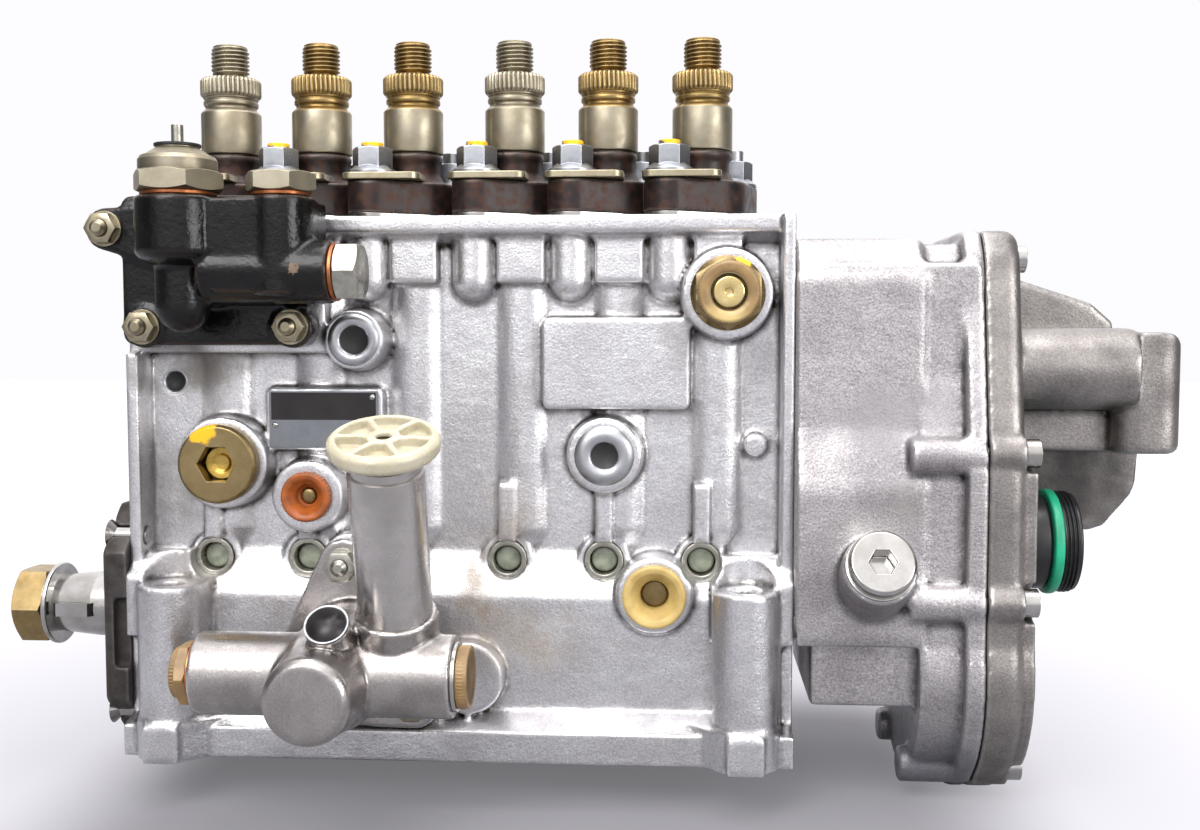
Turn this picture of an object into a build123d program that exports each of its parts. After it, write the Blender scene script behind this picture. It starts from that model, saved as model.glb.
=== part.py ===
"""Six-cylinder inline diesel injection pump with an electronic rack actuator, a feed pump with a hand
primer and an electric shut-off block.

Frame: +X runs along the camshaft from the drive end to the governor end, -Y is the side with the feed
pump, +Z is up. The origin is the middle of the four base bolts, on the underside of the feet. Millimetres.
"""
from build123d import *
import math
import os

os.makedirs("parts", exist_ok=True)

# ------------------------------------------------------------------ driving dimensions
# Pumping elements
ELEMENT_COUNT = 6
PITCH = 35.0                   # between neighbours of one bank of three
CENTRE_PITCH = 38.5            # between the two banks
ROW_X = -2.25                  # middle of the row, from the base bolts' middle
CAM_Z = 45.2                   # camshaft axis above the feet
CAM_LIFT = 10.0
BASE_CIRCLE_R = 14.0
FIRING_ANGLES = (0, 240, 120, 300, 60, 180)   # degrees of camshaft for elements 1 to 6

# Housing
HOUSING_LENGTH = 238.0
TOP_Z = 192.3
TOP_FLANGE_T = 6.0
TOP_HALF_W = 33.0
WALL_HALF_W = 23.5             # outer wall beside the barrels
CAMBOX_HALF_W = 31.0           # outer wall beside the camshaft
BASE_HALF_W = 45.0
BASE_T = 11.0
END_FLANGE_T = 4.5
END_HALF_W = 36.5
END_WALL_T = 11.0
CAST_WALL = 5.0
SHOULDER_LOW_Z = 56.0          # where the cam box starts to narrow
SHOULDER_HIGH_Z = 72.0         # where the upper wall starts
SHOULDER_FILLET = 28.0
BASE_FLARE_FILLET = 8.0

# Feet
FOOT_SPACING_X = 204.0
FOOT_SPACING_Y = 84.0
FOOT_HOLE_R = 5.25
FOOT_R = 11.3
FOOT_H = 62.0
FOOT_ROOT_H = 72.0             # block behind each bolt column
FOOT_FACE_R = 10.6             # spot face for the bolt's washer
FOOT_BLOCK_L = 33.0
FOOT_BLOCK_H = 14.0
FOOT_PAD = 13.0
FOOT_PAD_STEP = 1.2

# Fits
RUN = 0.05                     # radial clearance of a shaft in its bore
SLIP = 0.10                    # clearance of pieces that are slid together and stay
FREE = 0.30                    # air between curved faces that move past each other
PARK = 0.30                    # rollers stand this clear of the lobes' tips

# Roller tappets
TAPPET_R = 15.9
TAPPET_H = 20.0                # above the roller's axis
TAPPET_SKIRT = 12.0            # below it
ROLLER_R = 9.0
ROLLER_W = 12.0
ROLLER_PIN_R = 4.0
GUIDE_Z = 68.9
GUIDE_BOSS_R = 9.2
GUIDE_BOSS_Y = 25.7
GUIDE_BUSH_R = 7.0
GUIDE_HOLE_R = 4.35
GUIDE_TONGUE_W = 4.8
GUIDE_TONGUE_IN = 1.6

# Plunger springs, control sleeves, barrels
SPRING_R = 14.3
SPRING_WIRE = 3.0
SPRING_TURNS = 4.0
SPRING_SHELF_Z = 127.0         # underside of the shelf that the springs push against
SHELF_T = 4.0
PLUNGER_R = 6.0
PLUNGER_FOOT_R = 9.0
PLUNGER_FOOT_T = 3.0
SLEEVE_R = 12.2
SLEEVE_WALL = 2.5
SLEEVE_BOTTOM_Z = 106.0
VANE_W = 17.0
VANE_T = 4.0
VANE_H = 7.0
ARM_R = 18.0
ARM_T = 3.0
ARM_W = 6.0
ARM_PIN_R = 2.2
BARREL_R = 15.2
BARREL_NECK_R = 14.0
GALLERY_LOW_Z = 156.0
GALLERY_HIGH_Z = 178.0
GALLERY_R = 19.6
CHAMBER_TOP_Z = 150.0

# Control rack
RACK_TRAVEL = 21.0
RACK_W = 12.0
RACK_T = 5.0
RACK_Z = 134.0                 # underside of the bar
RACK_INNER_Y = 13.2
RACK_SLOT_SLACK = 0.9          # what the arm's arc needs on each side of its pin
RACK_ROD_R = 4.0

# Barrel flanges and what clamps them
SHIM_T = 1.8
FLANGE_T = 12.1
FLANGE_LOBE_R = 9.2
FLANGE_MID_R = 16.6
STUD_DX = 12.0
STUD_DY = 15.5
STUD_R = 4.0
STUD_TOP_Z = 220.1
STUD_IN = 13.0
SADDLE_T = 2.4                 # thin plate under the front nuts
NUT_FLANGE_R = 9.0
NUT_FLANGE_T = 2.2
NUT_AF = 13.0
NUT_H = 9.6

# Delivery valve holders
HOLDER_TOP_Z = 258.7
HOLDER_THREAD_R = 7.0
HOLDER_THREAD_L = 10.6
HOLDER_NECK_R = 5.65
HOLDER_COLLAR_Z = (239.4, 246.5)
HOLDER_COLLAR_R = 11.2
HOLDER_TEETH = 30
HOLDER_GROOVE_Z = (234.6, 237.4)
HOLDER_WAIST_R = 10.05
HOLDER_SHOULDER_Z = 232.9
HOLDER_BODY_R = 11.1
HOLDER_BODY_Z = 217.6
HOLDER_BORE_R = 1.6
FLANGE_NECK_TOP_R = 10.9
FLANGE_NECK_R = 10.0

# Drive end
SHAFT_R = 12.5
SHAFT_MID_R = 11.0
BEARING_R = 23.5
BEARING_W = 14.0
DRIVE_PLATE_T = 9.0
DRIVE_PLATE_H = 86.0
DRIVE_PLATE_W = 80.0
DRIVE_PLATE_CHAMFER = 16.0
DRIVE_SPIGOT_R = 27.5
SEAL_W = 4.8
SEAL_R = 18.0
TAPER_LARGE_X = -146.0
TAPER_SMALL_X = -162.0
TAPER_SMALL_R = 10.9
WASHER_R = 15.8
WASHER_T = 2.0
DRIVE_NUT_AF = 27.0
DRIVE_NUT_T = 12.5
DRIVE_THREAD_R = 9.0
KEY_W = 5.0
KEY_R = 9.5
SCREW_R = 3.0
SCREW_HEAD_R = 5.6
SCREW_L = 14.0

# Governor
GOV_BODY_X = 162.0             # where the body widens to the cover flange
GOV_JOINT_X = 183.5
GOV_COVER_X = 196.5
GOV_COVER_LOW_X = 200.5
GOV_TOP_Z = 184.0
GOV_R = 44.0
GOV_UPPER_HALF_W = 38.0
GOV_WALL = 5.0
GOV_RIM = 7.0
COIL_R = 12.6
COIL_BORE_R = 9.0
ARMATURE_R = 8.6
ARMATURE_L = 18.0
CONNECTOR_R = 18.2
CONNECTOR_Y = -15.0
CONNECTOR_Z = 75.9
CONNECTOR_X = 219.3
ORING_R = 18.9
GOV_PLUG_X = 146.0
GOV_PLUG_TILT = 28.0
GOV_PLUG_R = 11.2

# Feed pump and hand primer
FEED_Y = -75.0
FEED_Z = 38.8
FEED_R = 13.6
FEED_X0, FEED_X1 = -78.7, 6.4
FEED_BOSS_X = -35.0
FEED_BOSS_Z = 37.4
FEED_BOSS_R = 14.0
FEED_BOSS_Y = -105.0
FEED_FLANGE_Y = -45.0
FEED_FLANGE_T = 8.0
PRIMER_FOOT = (-13.0, -75.0, 60.0)
PRIMER_LEAN = 20.0             # towards the front
PRIMER_SWAY = 1.5              # towards the governor
PRIMER_R = 12.1
PRIMER_BORE_R = 9.6
PRIMER_L = 52.0
PRIMER_ROD_R = 4.0
PRIMER_TRAVEL = 28.0
KNOB_R = 17.5
KNOB_T = 7.5
KNOB_GAP = 1.2

# Shut-off block
BLOCK_X0, BLOCK_X1 = -117.5, -51.4
BLOCK_Z0, BLOCK_Z1 = 146.5, 199.0
BLOCK_BACK_Y = -33.0
BLOCK_PLATE_T = 8.0
SOLENOID_X = -89.5
SOLENOID_Y = -58.0
SOLENOID_AF = 27.0
SOLENOID_TRAVEL = 2.5
VALVE_TUBE_X = -55.0
VALVE_TUBE_R = 10.8
PANEL_X = -76.0                # left edge of the flat panel beside the valve tube
PANEL_Y = -65.6
SIDE_PORT_Z = 171.3

# Ports on the front wall
PORT_WALL_Y = 34.0


# ------------------------------------------------------------------ worked-out places
def element_x(index):
    """X of an element's axis, counted from 0 at the drive end."""
    half = ELEMENT_COUNT // 2
    bank = -1 if index < half else 1
    step = (half - 1 - index) if index < half else (index - half)
    return ROW_X + bank * (CENTRE_PITCH / 2 + step * PITCH)


ELEMENT_X = [element_x(index) for index in range(ELEMENT_COUNT)]
X0, X1 = -HOUSING_LENGTH / 2, HOUSING_LENGTH / 2
LOBE_TIP_R = BASE_CIRCLE_R + CAM_LIFT
ROLLER_Z = CAM_Z + LOBE_TIP_R + PARK + ROLLER_R
TAPPET_TOP_Z = ROLLER_Z + TAPPET_H
SEAT_DEPTH = 4.0
PLUNGER_BOTTOM_Z = TAPPET_TOP_Z - SEAT_DEPTH + SLIP
FLANGE_Z = TOP_Z + SHIM_T
FLANGE_TOP_Z = FLANGE_Z + FLANGE_T
SADDLE_TOP_Z = FLANGE_TOP_Z + SADDLE_T
CAVITY_X0, CAVITY_X1 = X0 + END_WALL_T, X1 - END_WALL_T
ARM_Z = RACK_Z + RACK_T + 0.4
ARM_REST = math.degrees(RACK_TRAVEL / 2 / ARM_R)
RACK_ROD_Y = RACK_INNER_Y + RACK_W / 2
RACK_ROD_Z = RACK_Z + RACK_T / 2
RACK_BACK_Y = RACK_INNER_Y + RACK_W + SLIP
SIDES = (-1, 1)


def each(places):
    """A list of planes from one plane or several."""
    return [places] if isinstance(places, Plane) else list(places)


def up(x, y, z):
    """A plane at a point, facing up."""
    return Plane(origin=(x, y, z), x_dir=(1, 0, 0), z_dir=(0, 0, 1))


def ahead(x, y, z):
    """A plane at a point, facing out of the front wall (-Y), with its own Y upwards."""
    return Plane(origin=(x, y, z), x_dir=(1, 0, 0), z_dir=(0, -1, 0))


def along(x, y=0.0, z=0.0):
    """A plane at a point, facing the governor end (+X), with its own X along +Y and its own Y upwards."""
    return Plane(origin=(x, y, z), x_dir=(0, 1, 0), z_dir=(1, 0, 0))


def leaning(foot, lean, sway=0.0):
    """A plane at a point whose normal leans from upright towards the front, and sways towards +X."""
    tilt, side = math.radians(lean), math.radians(sway)
    normal = (math.sin(side), -math.sin(tilt) * math.cos(side), math.cos(tilt) * math.cos(side))
    return Plane(origin=foot, x_dir=(math.cos(side), 0, -math.sin(side)), z_dir=normal)


def turn(place, points, mode=Mode.ADD):
    """Revolve a closed profile of (radius, height) points about the normal of a plane."""
    with BuildSketch(Plane(origin=place.origin, x_dir=place.x_dir, z_dir=-place.y_dir)) as profile:
        with BuildLine():
            Polyline(*points, close=True)
        make_face()
    revolve(profile.sketch, axis=Axis(place.origin, place.z_dir), mode=mode)


def rod(places, radius, height, mode=Mode.ADD):
    """Round rods, or with Mode.SUBTRACT holes, one from each plane given."""
    with BuildSketch(*each(places)) as profile:
        Circle(radius)
    extrude(profile.sketch, amount=height, mode=mode)


def ring(places, outer, inner, height, mode=Mode.ADD):
    """Flat rings or tubes, one from each plane given."""
    with BuildSketch(*each(places)) as profile:
        Circle(outer)
        Circle(inner, mode=Mode.SUBTRACT)
    extrude(profile.sketch, amount=height, mode=mode)


def hexagon(places, across_flats, height, mode=Mode.ADD):
    """Hexagonal prisms, or with Mode.SUBTRACT sockets, one from each plane given."""
    with BuildSketch(*each(places)) as profile:
        RegularPolygon(across_flats / 2, 6, major_radius=False)
    extrude(profile.sketch, amount=height, mode=mode)


def block(low, high, mode=Mode.ADD):
    """A box between two corners."""
    with Locations(tuple((a + b) / 2 for a, b in zip(low, high))):
        Box(*(b - a for a, b in zip(low, high)), mode=mode)


def blocks(size, centres, mode=Mode.ADD):
    """Boxes of one size at several centres."""
    with Locations(*centres):
        Box(*size, mode=mode)


def keep(builder, name):
    """Label a finished piece and write it."""
    builder.part.label = name
    export_step(builder.part, f"parts/{name}.step")


# ------------------------------------------------------------------ pump housing
LOBE_W = 12.0
BORE_R = TAPPET_R + RUN
SHELF_HOLE_R = SLEEVE_R + 0.4
CAMBOX_R = LOBE_TIP_R + 1.3
FLOOR_T = 9.0
COVER_T = 4.0
COVER_L = 200.0
COVER_W = 72.0
COVER_OPENING_L = 184.0
RIB_W = 6.0
RIB_Z = (75.5, 97.0)           # ribs above the guide bosses
RIB_Y = 28.5
KNUCKLE_R = 7.8
KNUCKLE_Y = 23.2
KNUCKLE_Z = 169.5
WAVE_R = 13.0
WAVE_Y = 14.0
WAVE_DX = 5.5                  # the waves lie between the studs' knuckles
WAVE_Z = (80.0, 168.5)         # straight part, which ends below in a cone that runs into the wall
WAVE_END = (7.0, 64.0)         # the cone's radius and height at its foot
PAD_W, PAD_H, PAD_Y = 17.0, 17.5, 29.5
LABEL_PAD = (30.4, 82.7, 123.7, 156.4)        # raised blank pad: X from, to, Z from, to
LABEL_PAD_Y = 31.0
PLATE_PAD = (-70.5, -27.5, 108.4, 131.0)      # seat of the name plate
PLATE_PAD_Y = 29.0
NAMEPLATE_T = 0.8
FEED_PAD_Y = 37.0
FEED_STUDS = ((-38.5, 69.5), (-60.0, 22.0), (-14.0, 20.5))
FEED_LOBE_R = 9.0
BACK_RIB_Y = 31.0
BLOCK_STUDS = ((-122.6, 187.3), (-109.7, 152.9), (-56.5, 152.9))

# name: X, Z, boss radius, face Y, hole radius, hole depth
FRONT_PORTS = {
    "gallery": (-85.5, 104.1, 16.2, PORT_WALL_Y, 11.0, 12.0),
    "orange": (-54.6, 92.1, 12.6, PORT_WALL_Y - 1, 7.0, 10.0),
    "blind": (52.6, 107.5, 13.0, PORT_WALL_Y, 4.7, 9.0),
    "drain": (70.4, 57.9, 13.4, PORT_WALL_Y + 1, 8.0, 12.0),
    "bleed": (-36.2, 148.3, 10.4, PORT_WALL_Y + 2, 5.0, 9.0),
    "overflow": (95.5, 164.5, 15.6, PORT_WALL_Y + 5, 8.0, 14.0),
}
BUMP = (106.0, 111.0, 4.2, 27.5)              # small round cast bump: X, Z, radius, face Y
DISC = (4.0, 28.0, 13.0, 38.6)                # round boss beside the feed pump, in the same order


def housing_outline():
    """The housing's section across the camshaft: Y to the side, Z up."""
    with BuildSketch(along(X0)) as outline:
        with BuildLine():
            Polyline(
                (0, 0), (BASE_HALF_W, 0), (BASE_HALF_W, BASE_T), (CAMBOX_HALF_W, BASE_T + 4),
                (CAMBOX_HALF_W, SHOULDER_LOW_Z), (WALL_HALF_W, SHOULDER_HIGH_Z),
                (WALL_HALF_W, TOP_Z - TOP_FLANGE_T - 4), (TOP_HALF_W, TOP_Z - TOP_FLANGE_T),
                (TOP_HALF_W, TOP_Z), (0, TOP_Z), close=True)
        make_face()
        mirror(about=Plane.YZ)
        fillet([v for v in outline.vertices() if SHOULDER_LOW_Z - 1 < v.Z < SHOULDER_HIGH_Z + 1], SHOULDER_FILLET)
        fillet([v for v in outline.vertices() if BASE_T + 1 < v.Z < SHOULDER_LOW_Z - 1], BASE_FLARE_FILLET)
        fillet([v for v in outline.vertices() if abs(v.Z - BASE_T) < 0.1], radius=2.5)
    return outline.sketch


def add_feet():
    """Four foot blocks with a bolt column on each and a square pad on the front."""
    corners = [(side, face) for side in SIDES for face in SIDES]
    with BuildSketch() as feet:
        for side, face in corners:
            x, y = side * FOOT_SPACING_X / 2, face * FOOT_SPACING_Y / 2
            with BuildSketch(mode=Mode.PRIVATE) as foot:
                with Locations((x, y)):
                    Circle(FOOT_R + 0.8)
                with Locations((x - side * 4, y - face * 8)):
                    RectangleRounded(FOOT_BLOCK_L, 14, 4)
                make_hull()
            add(foot.sketch)
    extrude(feet.sketch, amount=FOOT_BLOCK_H)
    column_x, column_y = FOOT_SPACING_X / 2, FOOT_SPACING_Y / 2
    rod([up(side * column_x, face * column_y, 0) for side, face in corners], FOOT_R, FOOT_H)
    root_w, root_l = column_y - CAMBOX_HALF_W + 2, X1 - END_FLANGE_T - column_x
    blocks((root_l, root_w, FOOT_H - 4), [(side * (column_x + root_l / 2), face * (column_y - root_w / 2),
           (FOOT_H - 4) / 2) for side, face in corners])
    with BuildSketch(along(X0), along(column_x - FOOT_R)) as roots:
        with BuildLine():
            Polyline((CAMBOX_HALF_W - 4, FOOT_ROOT_H - 30), (column_y - 1, FOOT_ROOT_H - 30),
                     (column_y - 1, FOOT_H + 1.5), (CAMBOX_HALF_W + 1, FOOT_ROOT_H), (CAMBOX_HALF_W - 4, FOOT_ROOT_H),
                     close=True)
        make_face()
        mirror(about=Plane.YZ)
    extrude(roots.sketch, amount=X1 - column_x + FOOT_R)
    rod([up(side * column_x, face * column_y, FOOT_H) for side, face in corners], FOOT_FACE_R, FOOT_H,
        Mode.SUBTRACT)
    pad_l = FOOT_R + FOOT_PAD_STEP
    blocks((FOOT_PAD, pad_l, FOOT_PAD), [(side * column_x, face * (column_y + pad_l / 2), FOOT_PAD / 2)
           for side, face in corners])


def add_front_bosses():
    """Round port bosses, tappet guide bosses with their ribs, stud knuckles, pads and waves."""
    root_y = WALL_HALF_W - 6
    for x, z, radius, face_y, _hole, _depth in FRONT_PORTS.values():
        with BuildSketch(ahead(x, -root_y, z)) as root:
            Circle(radius + 1.5)
        extrude(root.sketch, amount=face_y - root_y, taper=4)
    rod([ahead(x, -root_y, GUIDE_Z) for x in ELEMENT_X], GUIDE_BOSS_R, GUIDE_BOSS_Y - root_y)
    rib_depth = RIB_Y - root_y
    blocks((RIB_W, rib_depth, RIB_Z[1] - RIB_Z[0]), [(x, -root_y - rib_depth / 2, sum(RIB_Z) / 2) for x in ELEMENT_X])
    pairs = [(x, face) for x in ELEMENT_X for face in SIDES]
    rod([up(x + face * STUD_DX, face * KNUCKLE_Y, KNUCKLE_Z) for x, face in pairs], KNUCKLE_R, TOP_Z - KNUCKLE_Z)
    with Locations(*[(x + face * STUD_DX, face * KNUCKLE_Y, KNUCKLE_Z) for x, face in pairs]):
        Sphere(KNUCKLE_R)
    for x, face in pairs:
        turn(up(x - face * WAVE_DX, face * WAVE_Y, 0), [
            (0, WAVE_END[1]), WAVE_END, (WAVE_R, WAVE_Z[0]), (WAVE_R, WAVE_Z[1]), (0, WAVE_Z[1])])
    blocks((PAD_W, PAD_Y, PAD_H), [(x - face * WAVE_DX, face * PAD_Y / 2, WAVE_Z[1] + PAD_H / 2)
           for x, face in pairs])
    for x_low, x_high, z_low, z_high, face_y in ((*LABEL_PAD, LABEL_PAD_Y), (*PLATE_PAD, PLATE_PAD_Y)):
        with BuildSketch(ahead((x_low + x_high) / 2, -root_y, (z_low + z_high) / 2)) as pad:
            RectangleRounded(x_high - x_low, z_high - z_low, 2.5)
        extrude(pad.sketch, amount=face_y - root_y)
    for x, z, radius, face_y in (BUMP, DISC):
        rod(ahead(x, -root_y, z), radius, face_y - root_y)


def feed_flange_sketch(grow=0.0):
    """The feed pump's three-lobed flange, seen from the front."""
    with BuildSketch(ahead(0, -FEED_PAD_Y, 0)) as flange:
        for stud_x, stud_z in FEED_STUDS:
            with Locations((stud_x, stud_z)):
                Circle(FEED_LOBE_R + grow)
        make_hull()
    return flange.sketch


def element_bore():
    """What one element takes out of the housing, about the element's axis."""
    with BuildPart() as bore:
        turn(up(0, 0, 0), [
            (0, CAM_Z + 12), (BORE_R, CAM_Z + 12), (BORE_R, SPRING_SHELF_Z), (SHELF_HOLE_R, SPRING_SHELF_Z),
            (SHELF_HOLE_R, CHAMBER_TOP_Z), (BARREL_NECK_R, CHAMBER_TOP_Z), (BARREL_NECK_R, GALLERY_LOW_Z),
            (GALLERY_R, GALLERY_LOW_Z), (GALLERY_R, GALLERY_HIGH_Z), (BARREL_R, GALLERY_HIGH_Z),
            (BARREL_R, TOP_Z + 1), (0, TOP_Z + 1)])
    return bore.part


def cut_inside():
    """Bores of the elements, cam box, rack chamber, gallery and end bores."""
    with Locations(*[(x, 0, 0) for x in ELEMENT_X]):
        add(element_bore(), mode=Mode.SUBTRACT)
    rod([up(x + face * STUD_DX, face * STUD_DY, TOP_Z - STUD_IN) for x in ELEMENT_X for face in SIDES],
        STUD_R, STUD_IN + 1, Mode.SUBTRACT)
    rod([ahead(x, 0, GUIDE_Z) for x in ELEMENT_X], GUIDE_HOLE_R, GUIDE_BOSS_Y + 1, Mode.SUBTRACT)
    rod([ahead(x, -GUIDE_BUSH_Y, GUIDE_Z) for x in ELEMENT_X], GUIDE_BUSH_R, GUIDE_BOSS_Y, Mode.SUBTRACT)
    rod(along(CAVITY_X0, 0, CAM_Z), CAMBOX_R, CAVITY_X1 - CAVITY_X0, Mode.SUBTRACT)
    block((CAVITY_X0, -CAMBOX_R, FLOOR_T), (CAVITY_X1, CAMBOX_R, CAM_Z), Mode.SUBTRACT)
    block((-COVER_OPENING_L / 2, -CAMBOX_R, 0), (COVER_OPENING_L / 2, CAMBOX_R, FLOOR_T), Mode.SUBTRACT)
    block((-COVER_L / 2 - SLIP, -COVER_W / 2 - SLIP, -1), (COVER_L / 2 + SLIP, COVER_W / 2 + SLIP, COVER_SEAT_Z),
          Mode.SUBTRACT)
    block((CAVITY_X0, -BORE_R, SPRING_SHELF_Z + SHELF_T), (CAVITY_X1, RACK_BACK_Y - 4, CHAMBER_TOP_Z),
          Mode.SUBTRACT)
    block((CAVITY_X0, 0, RACK_Z - SLIP), (CAVITY_X1, RACK_BACK_Y, RACK_Z + RACK_T + SLIP), Mode.SUBTRACT)
    rod(along(0, RACK_ROD_Y, RACK_ROD_Z), RACK_ROD_R + RUN, X1 + 1, Mode.SUBTRACT)
    rod(along(X0 - 1, 0, CAM_Z), DRIVE_SPIGOT_R + RUN, END_WALL_T + 2, Mode.SUBTRACT)
    rod(along(CAVITY_X1 - 1, 0, CAM_Z), BEARING_R + RUN, END_WALL_T + 2, Mode.SUBTRACT)


def cut_ports():
    """Foot bolt holes, port holes, feed pump passage, stud and screw holes."""
    corners = [(side, face) for side in SIDES for face in SIDES]
    rod([up(side * FOOT_SPACING_X / 2, face * FOOT_SPACING_Y / 2, -1) for side, face in corners],
        FOOT_HOLE_R, FOOT_H + 2, Mode.SUBTRACT)
    rod([along(X0 - 1, face * DRIVE_SCREW_Y, CAM_Z + side * DRIVE_SCREW_Z) for side, face in corners],
        SCREW_R, SCREW_L, Mode.SUBTRACT)
    rod([up(x, y, 0) for x, y in COVER_SCREWS], SCREW_R, SCREW_L + 1, Mode.SUBTRACT)
    for x, z, _radius, face_y, hole, depth in FRONT_PORTS.values():
        rod(ahead(x, -face_y + depth, z), hole, depth + 1, Mode.SUBTRACT)
    rod([ahead(x, -FEED_PAD_Y + FRONT_STUD_IN, z) for x, z in FEED_STUDS]
        + [ahead(x, BLOCK_BACK_Y + FRONT_STUD_IN, z) for x, z in BLOCK_STUDS[1:]],
        FRONT_STUD_R, FRONT_STUD_IN + 1, Mode.SUBTRACT)
    rod(ahead(FEED_BOSS_X, -CAMBOX_R + 2, FEED_BOSS_Z), FEED_ROD_R + 2, FEED_PAD_Y, Mode.SUBTRACT)
    rod(ahead(SIDE_HOLE[0], -WALL_HALF_W + 4, SIDE_HOLE[1]), SIDE_HOLE[2], 20, Mode.SUBTRACT)
    rod(ahead(VALVE_TUBE_X, 0, SIDE_PORT_Z), 5.0, WALL_HALF_W + 12, Mode.SUBTRACT)


GUIDE_BUSH_Y = 18.5            # inner end of the guide bushes
COVER_SEAT_Z = COVER_T + 0.5
FRONT_STUD_R = 3.0
FRONT_STUD_IN = 8.0
DRIVE_SCREW_Y, DRIVE_SCREW_Z = 31.0, 32.0
COVER_SCREWS = [(x, y) for x in (-93, -46.5, 0, 46.5, 93) for y in (-29.5, 29.5)]
FEED_ROD_R = 5.0
SIDE_HOLE = (-106.1, 133.1, 3.7)
LAND_Z = 143.7                 # lower edge of the shut-off block's seat
LAND_X = -47.0


def make_housing():
    """The one-piece aluminium casting that holds the elements, the camshaft and the rack."""
    with BuildPart() as housing:
        extrude(housing_outline(), amount=HOUSING_LENGTH)
        for x in (X0, X1 - END_FLANGE_T):
            block((x, -END_HALF_W, 0), (x + END_FLANGE_T, END_HALF_W, TOP_Z))
        with BuildSketch(along(X0)) as back_rib:
            with BuildLine():
                Polyline((0, RACK_Z - 18), (WALL_HALF_W - 1, RACK_Z - 18), (BACK_RIB_Y, RACK_Z - 8),
                         (BACK_RIB_Y, RACK_Z + 14), (WALL_HALF_W - 1, RACK_Z + 24), (0, RACK_Z + 24), close=True)
            make_face()
        extrude(back_rib.sketch, amount=HOUSING_LENGTH)
        add_feet()
        add_front_bosses()
        extrude(feed_flange_sketch(1.0), amount=-(FEED_PAD_Y - CAMBOX_HALF_W + 6))
        block((X0, BLOCK_BACK_Y, LAND_Z), (LAND_X, 0, TOP_Z))
        block((X0 - 1, -END_HALF_W - 1, LAND_Z), (LAND_X, BLOCK_BACK_Y, TOP_Z + 1), Mode.SUBTRACT)
        extrude(feed_flange_sketch(FREE), amount=FEED_FLANGE_T, mode=Mode.SUBTRACT)
        cut_inside()
        cut_ports()
    return housing


# ------------------------------------------------------------------ housing closures
def make_bottom_cover():
    """Flat plate that closes the cam box from below."""
    with BuildPart() as cover:
        block((-COVER_L / 2, -COVER_W / 2, COVER_SEAT_Z - COVER_T), (COVER_L / 2, COVER_W / 2, COVER_SEAT_Z))
        fillet(cover.edges().filter_by(Axis.Z), radius=6)
        with Locations(*[(x, y, COVER_SEAT_Z - COVER_T) for x, y in COVER_SCREWS]):
            with Locations(Rotation(180, 0, 0)):
                CounterSinkHole(SCREW_R + SLIP, SCREW_HEAD_R + SLIP)
    return cover


def countersunk_screw():
    """A countersunk screw whose head's face lies at the origin, with its shank downwards."""
    with BuildPart() as screw:
        cone = SCREW_HEAD_R - SCREW_R
        shank = SCREW_R - RUN
        turn(up(0, 0, 0), [(0, 0), (SCREW_HEAD_R, 0), (shank, -cone), (shank, -SCREW_L), (0, -SCREW_L)])
        hexagon(up(0, 0, -2.4), 3.5, 3, Mode.SUBTRACT)
    return screw.part


def make_housing_screws():
    """The countersunk screws of the bottom cover and of the drive end plate."""
    with BuildPart() as screws:
        for x, y in COVER_SCREWS:
            with Locations(Location((x, y, COVER_SEAT_Z - COVER_T), (180, 0, 0))):
                add(countersunk_screw())
        for side in SIDES:
            for face in SIDES:
                place = (X0 - DRIVE_PLATE_T, face * DRIVE_SCREW_Y, CAM_Z + side * DRIVE_SCREW_Z)
                with Locations(Location(place, (0, -90, 0))):
                    add(countersunk_screw())
    return screws


# ------------------------------------------------------------------ camshaft and drive end
SHOULDER_R = 14.5
THREAD_END_X = TAPER_SMALL_X - WASHER_T - DRIVE_NUT_T - 1.2
CUP_X = (X0 - 3.5, X1 - BEARING_W)      # drive end and governor end bearings start here
NOSE_R = 6.5
KEY_X = -152.4
KEY_Y = -7.0
KEY_TOP_Y = -14.2
ECCENTRIC_R = 17.0
ECCENTRIC_THROW = 3.0
ECCENTRIC_W = 10.0
STUB_R = 10.0
STUB_X = 140.0
WHEEL_R = 30.0
WHEEL_T = 6.0
WHEEL_X = 130.0
WHEEL_SLOTS = 6


def key_outline(slack):
    """Woodruff key, or its seat with some slack, seen from above."""
    with BuildSketch(up(0, 0, CAM_Z - KEY_W / 2 - slack)) as outline:
        with Locations((KEY_X, KEY_Y)):
            Circle(KEY_R + slack)
        with Locations((KEY_X, (KEY_TOP_Y + KEY_Y) / 2 + 1)):
            Rectangle(4 * KEY_R, KEY_Y - KEY_TOP_Y + 2, mode=Mode.INTERSECT)
    return outline.sketch


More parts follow.
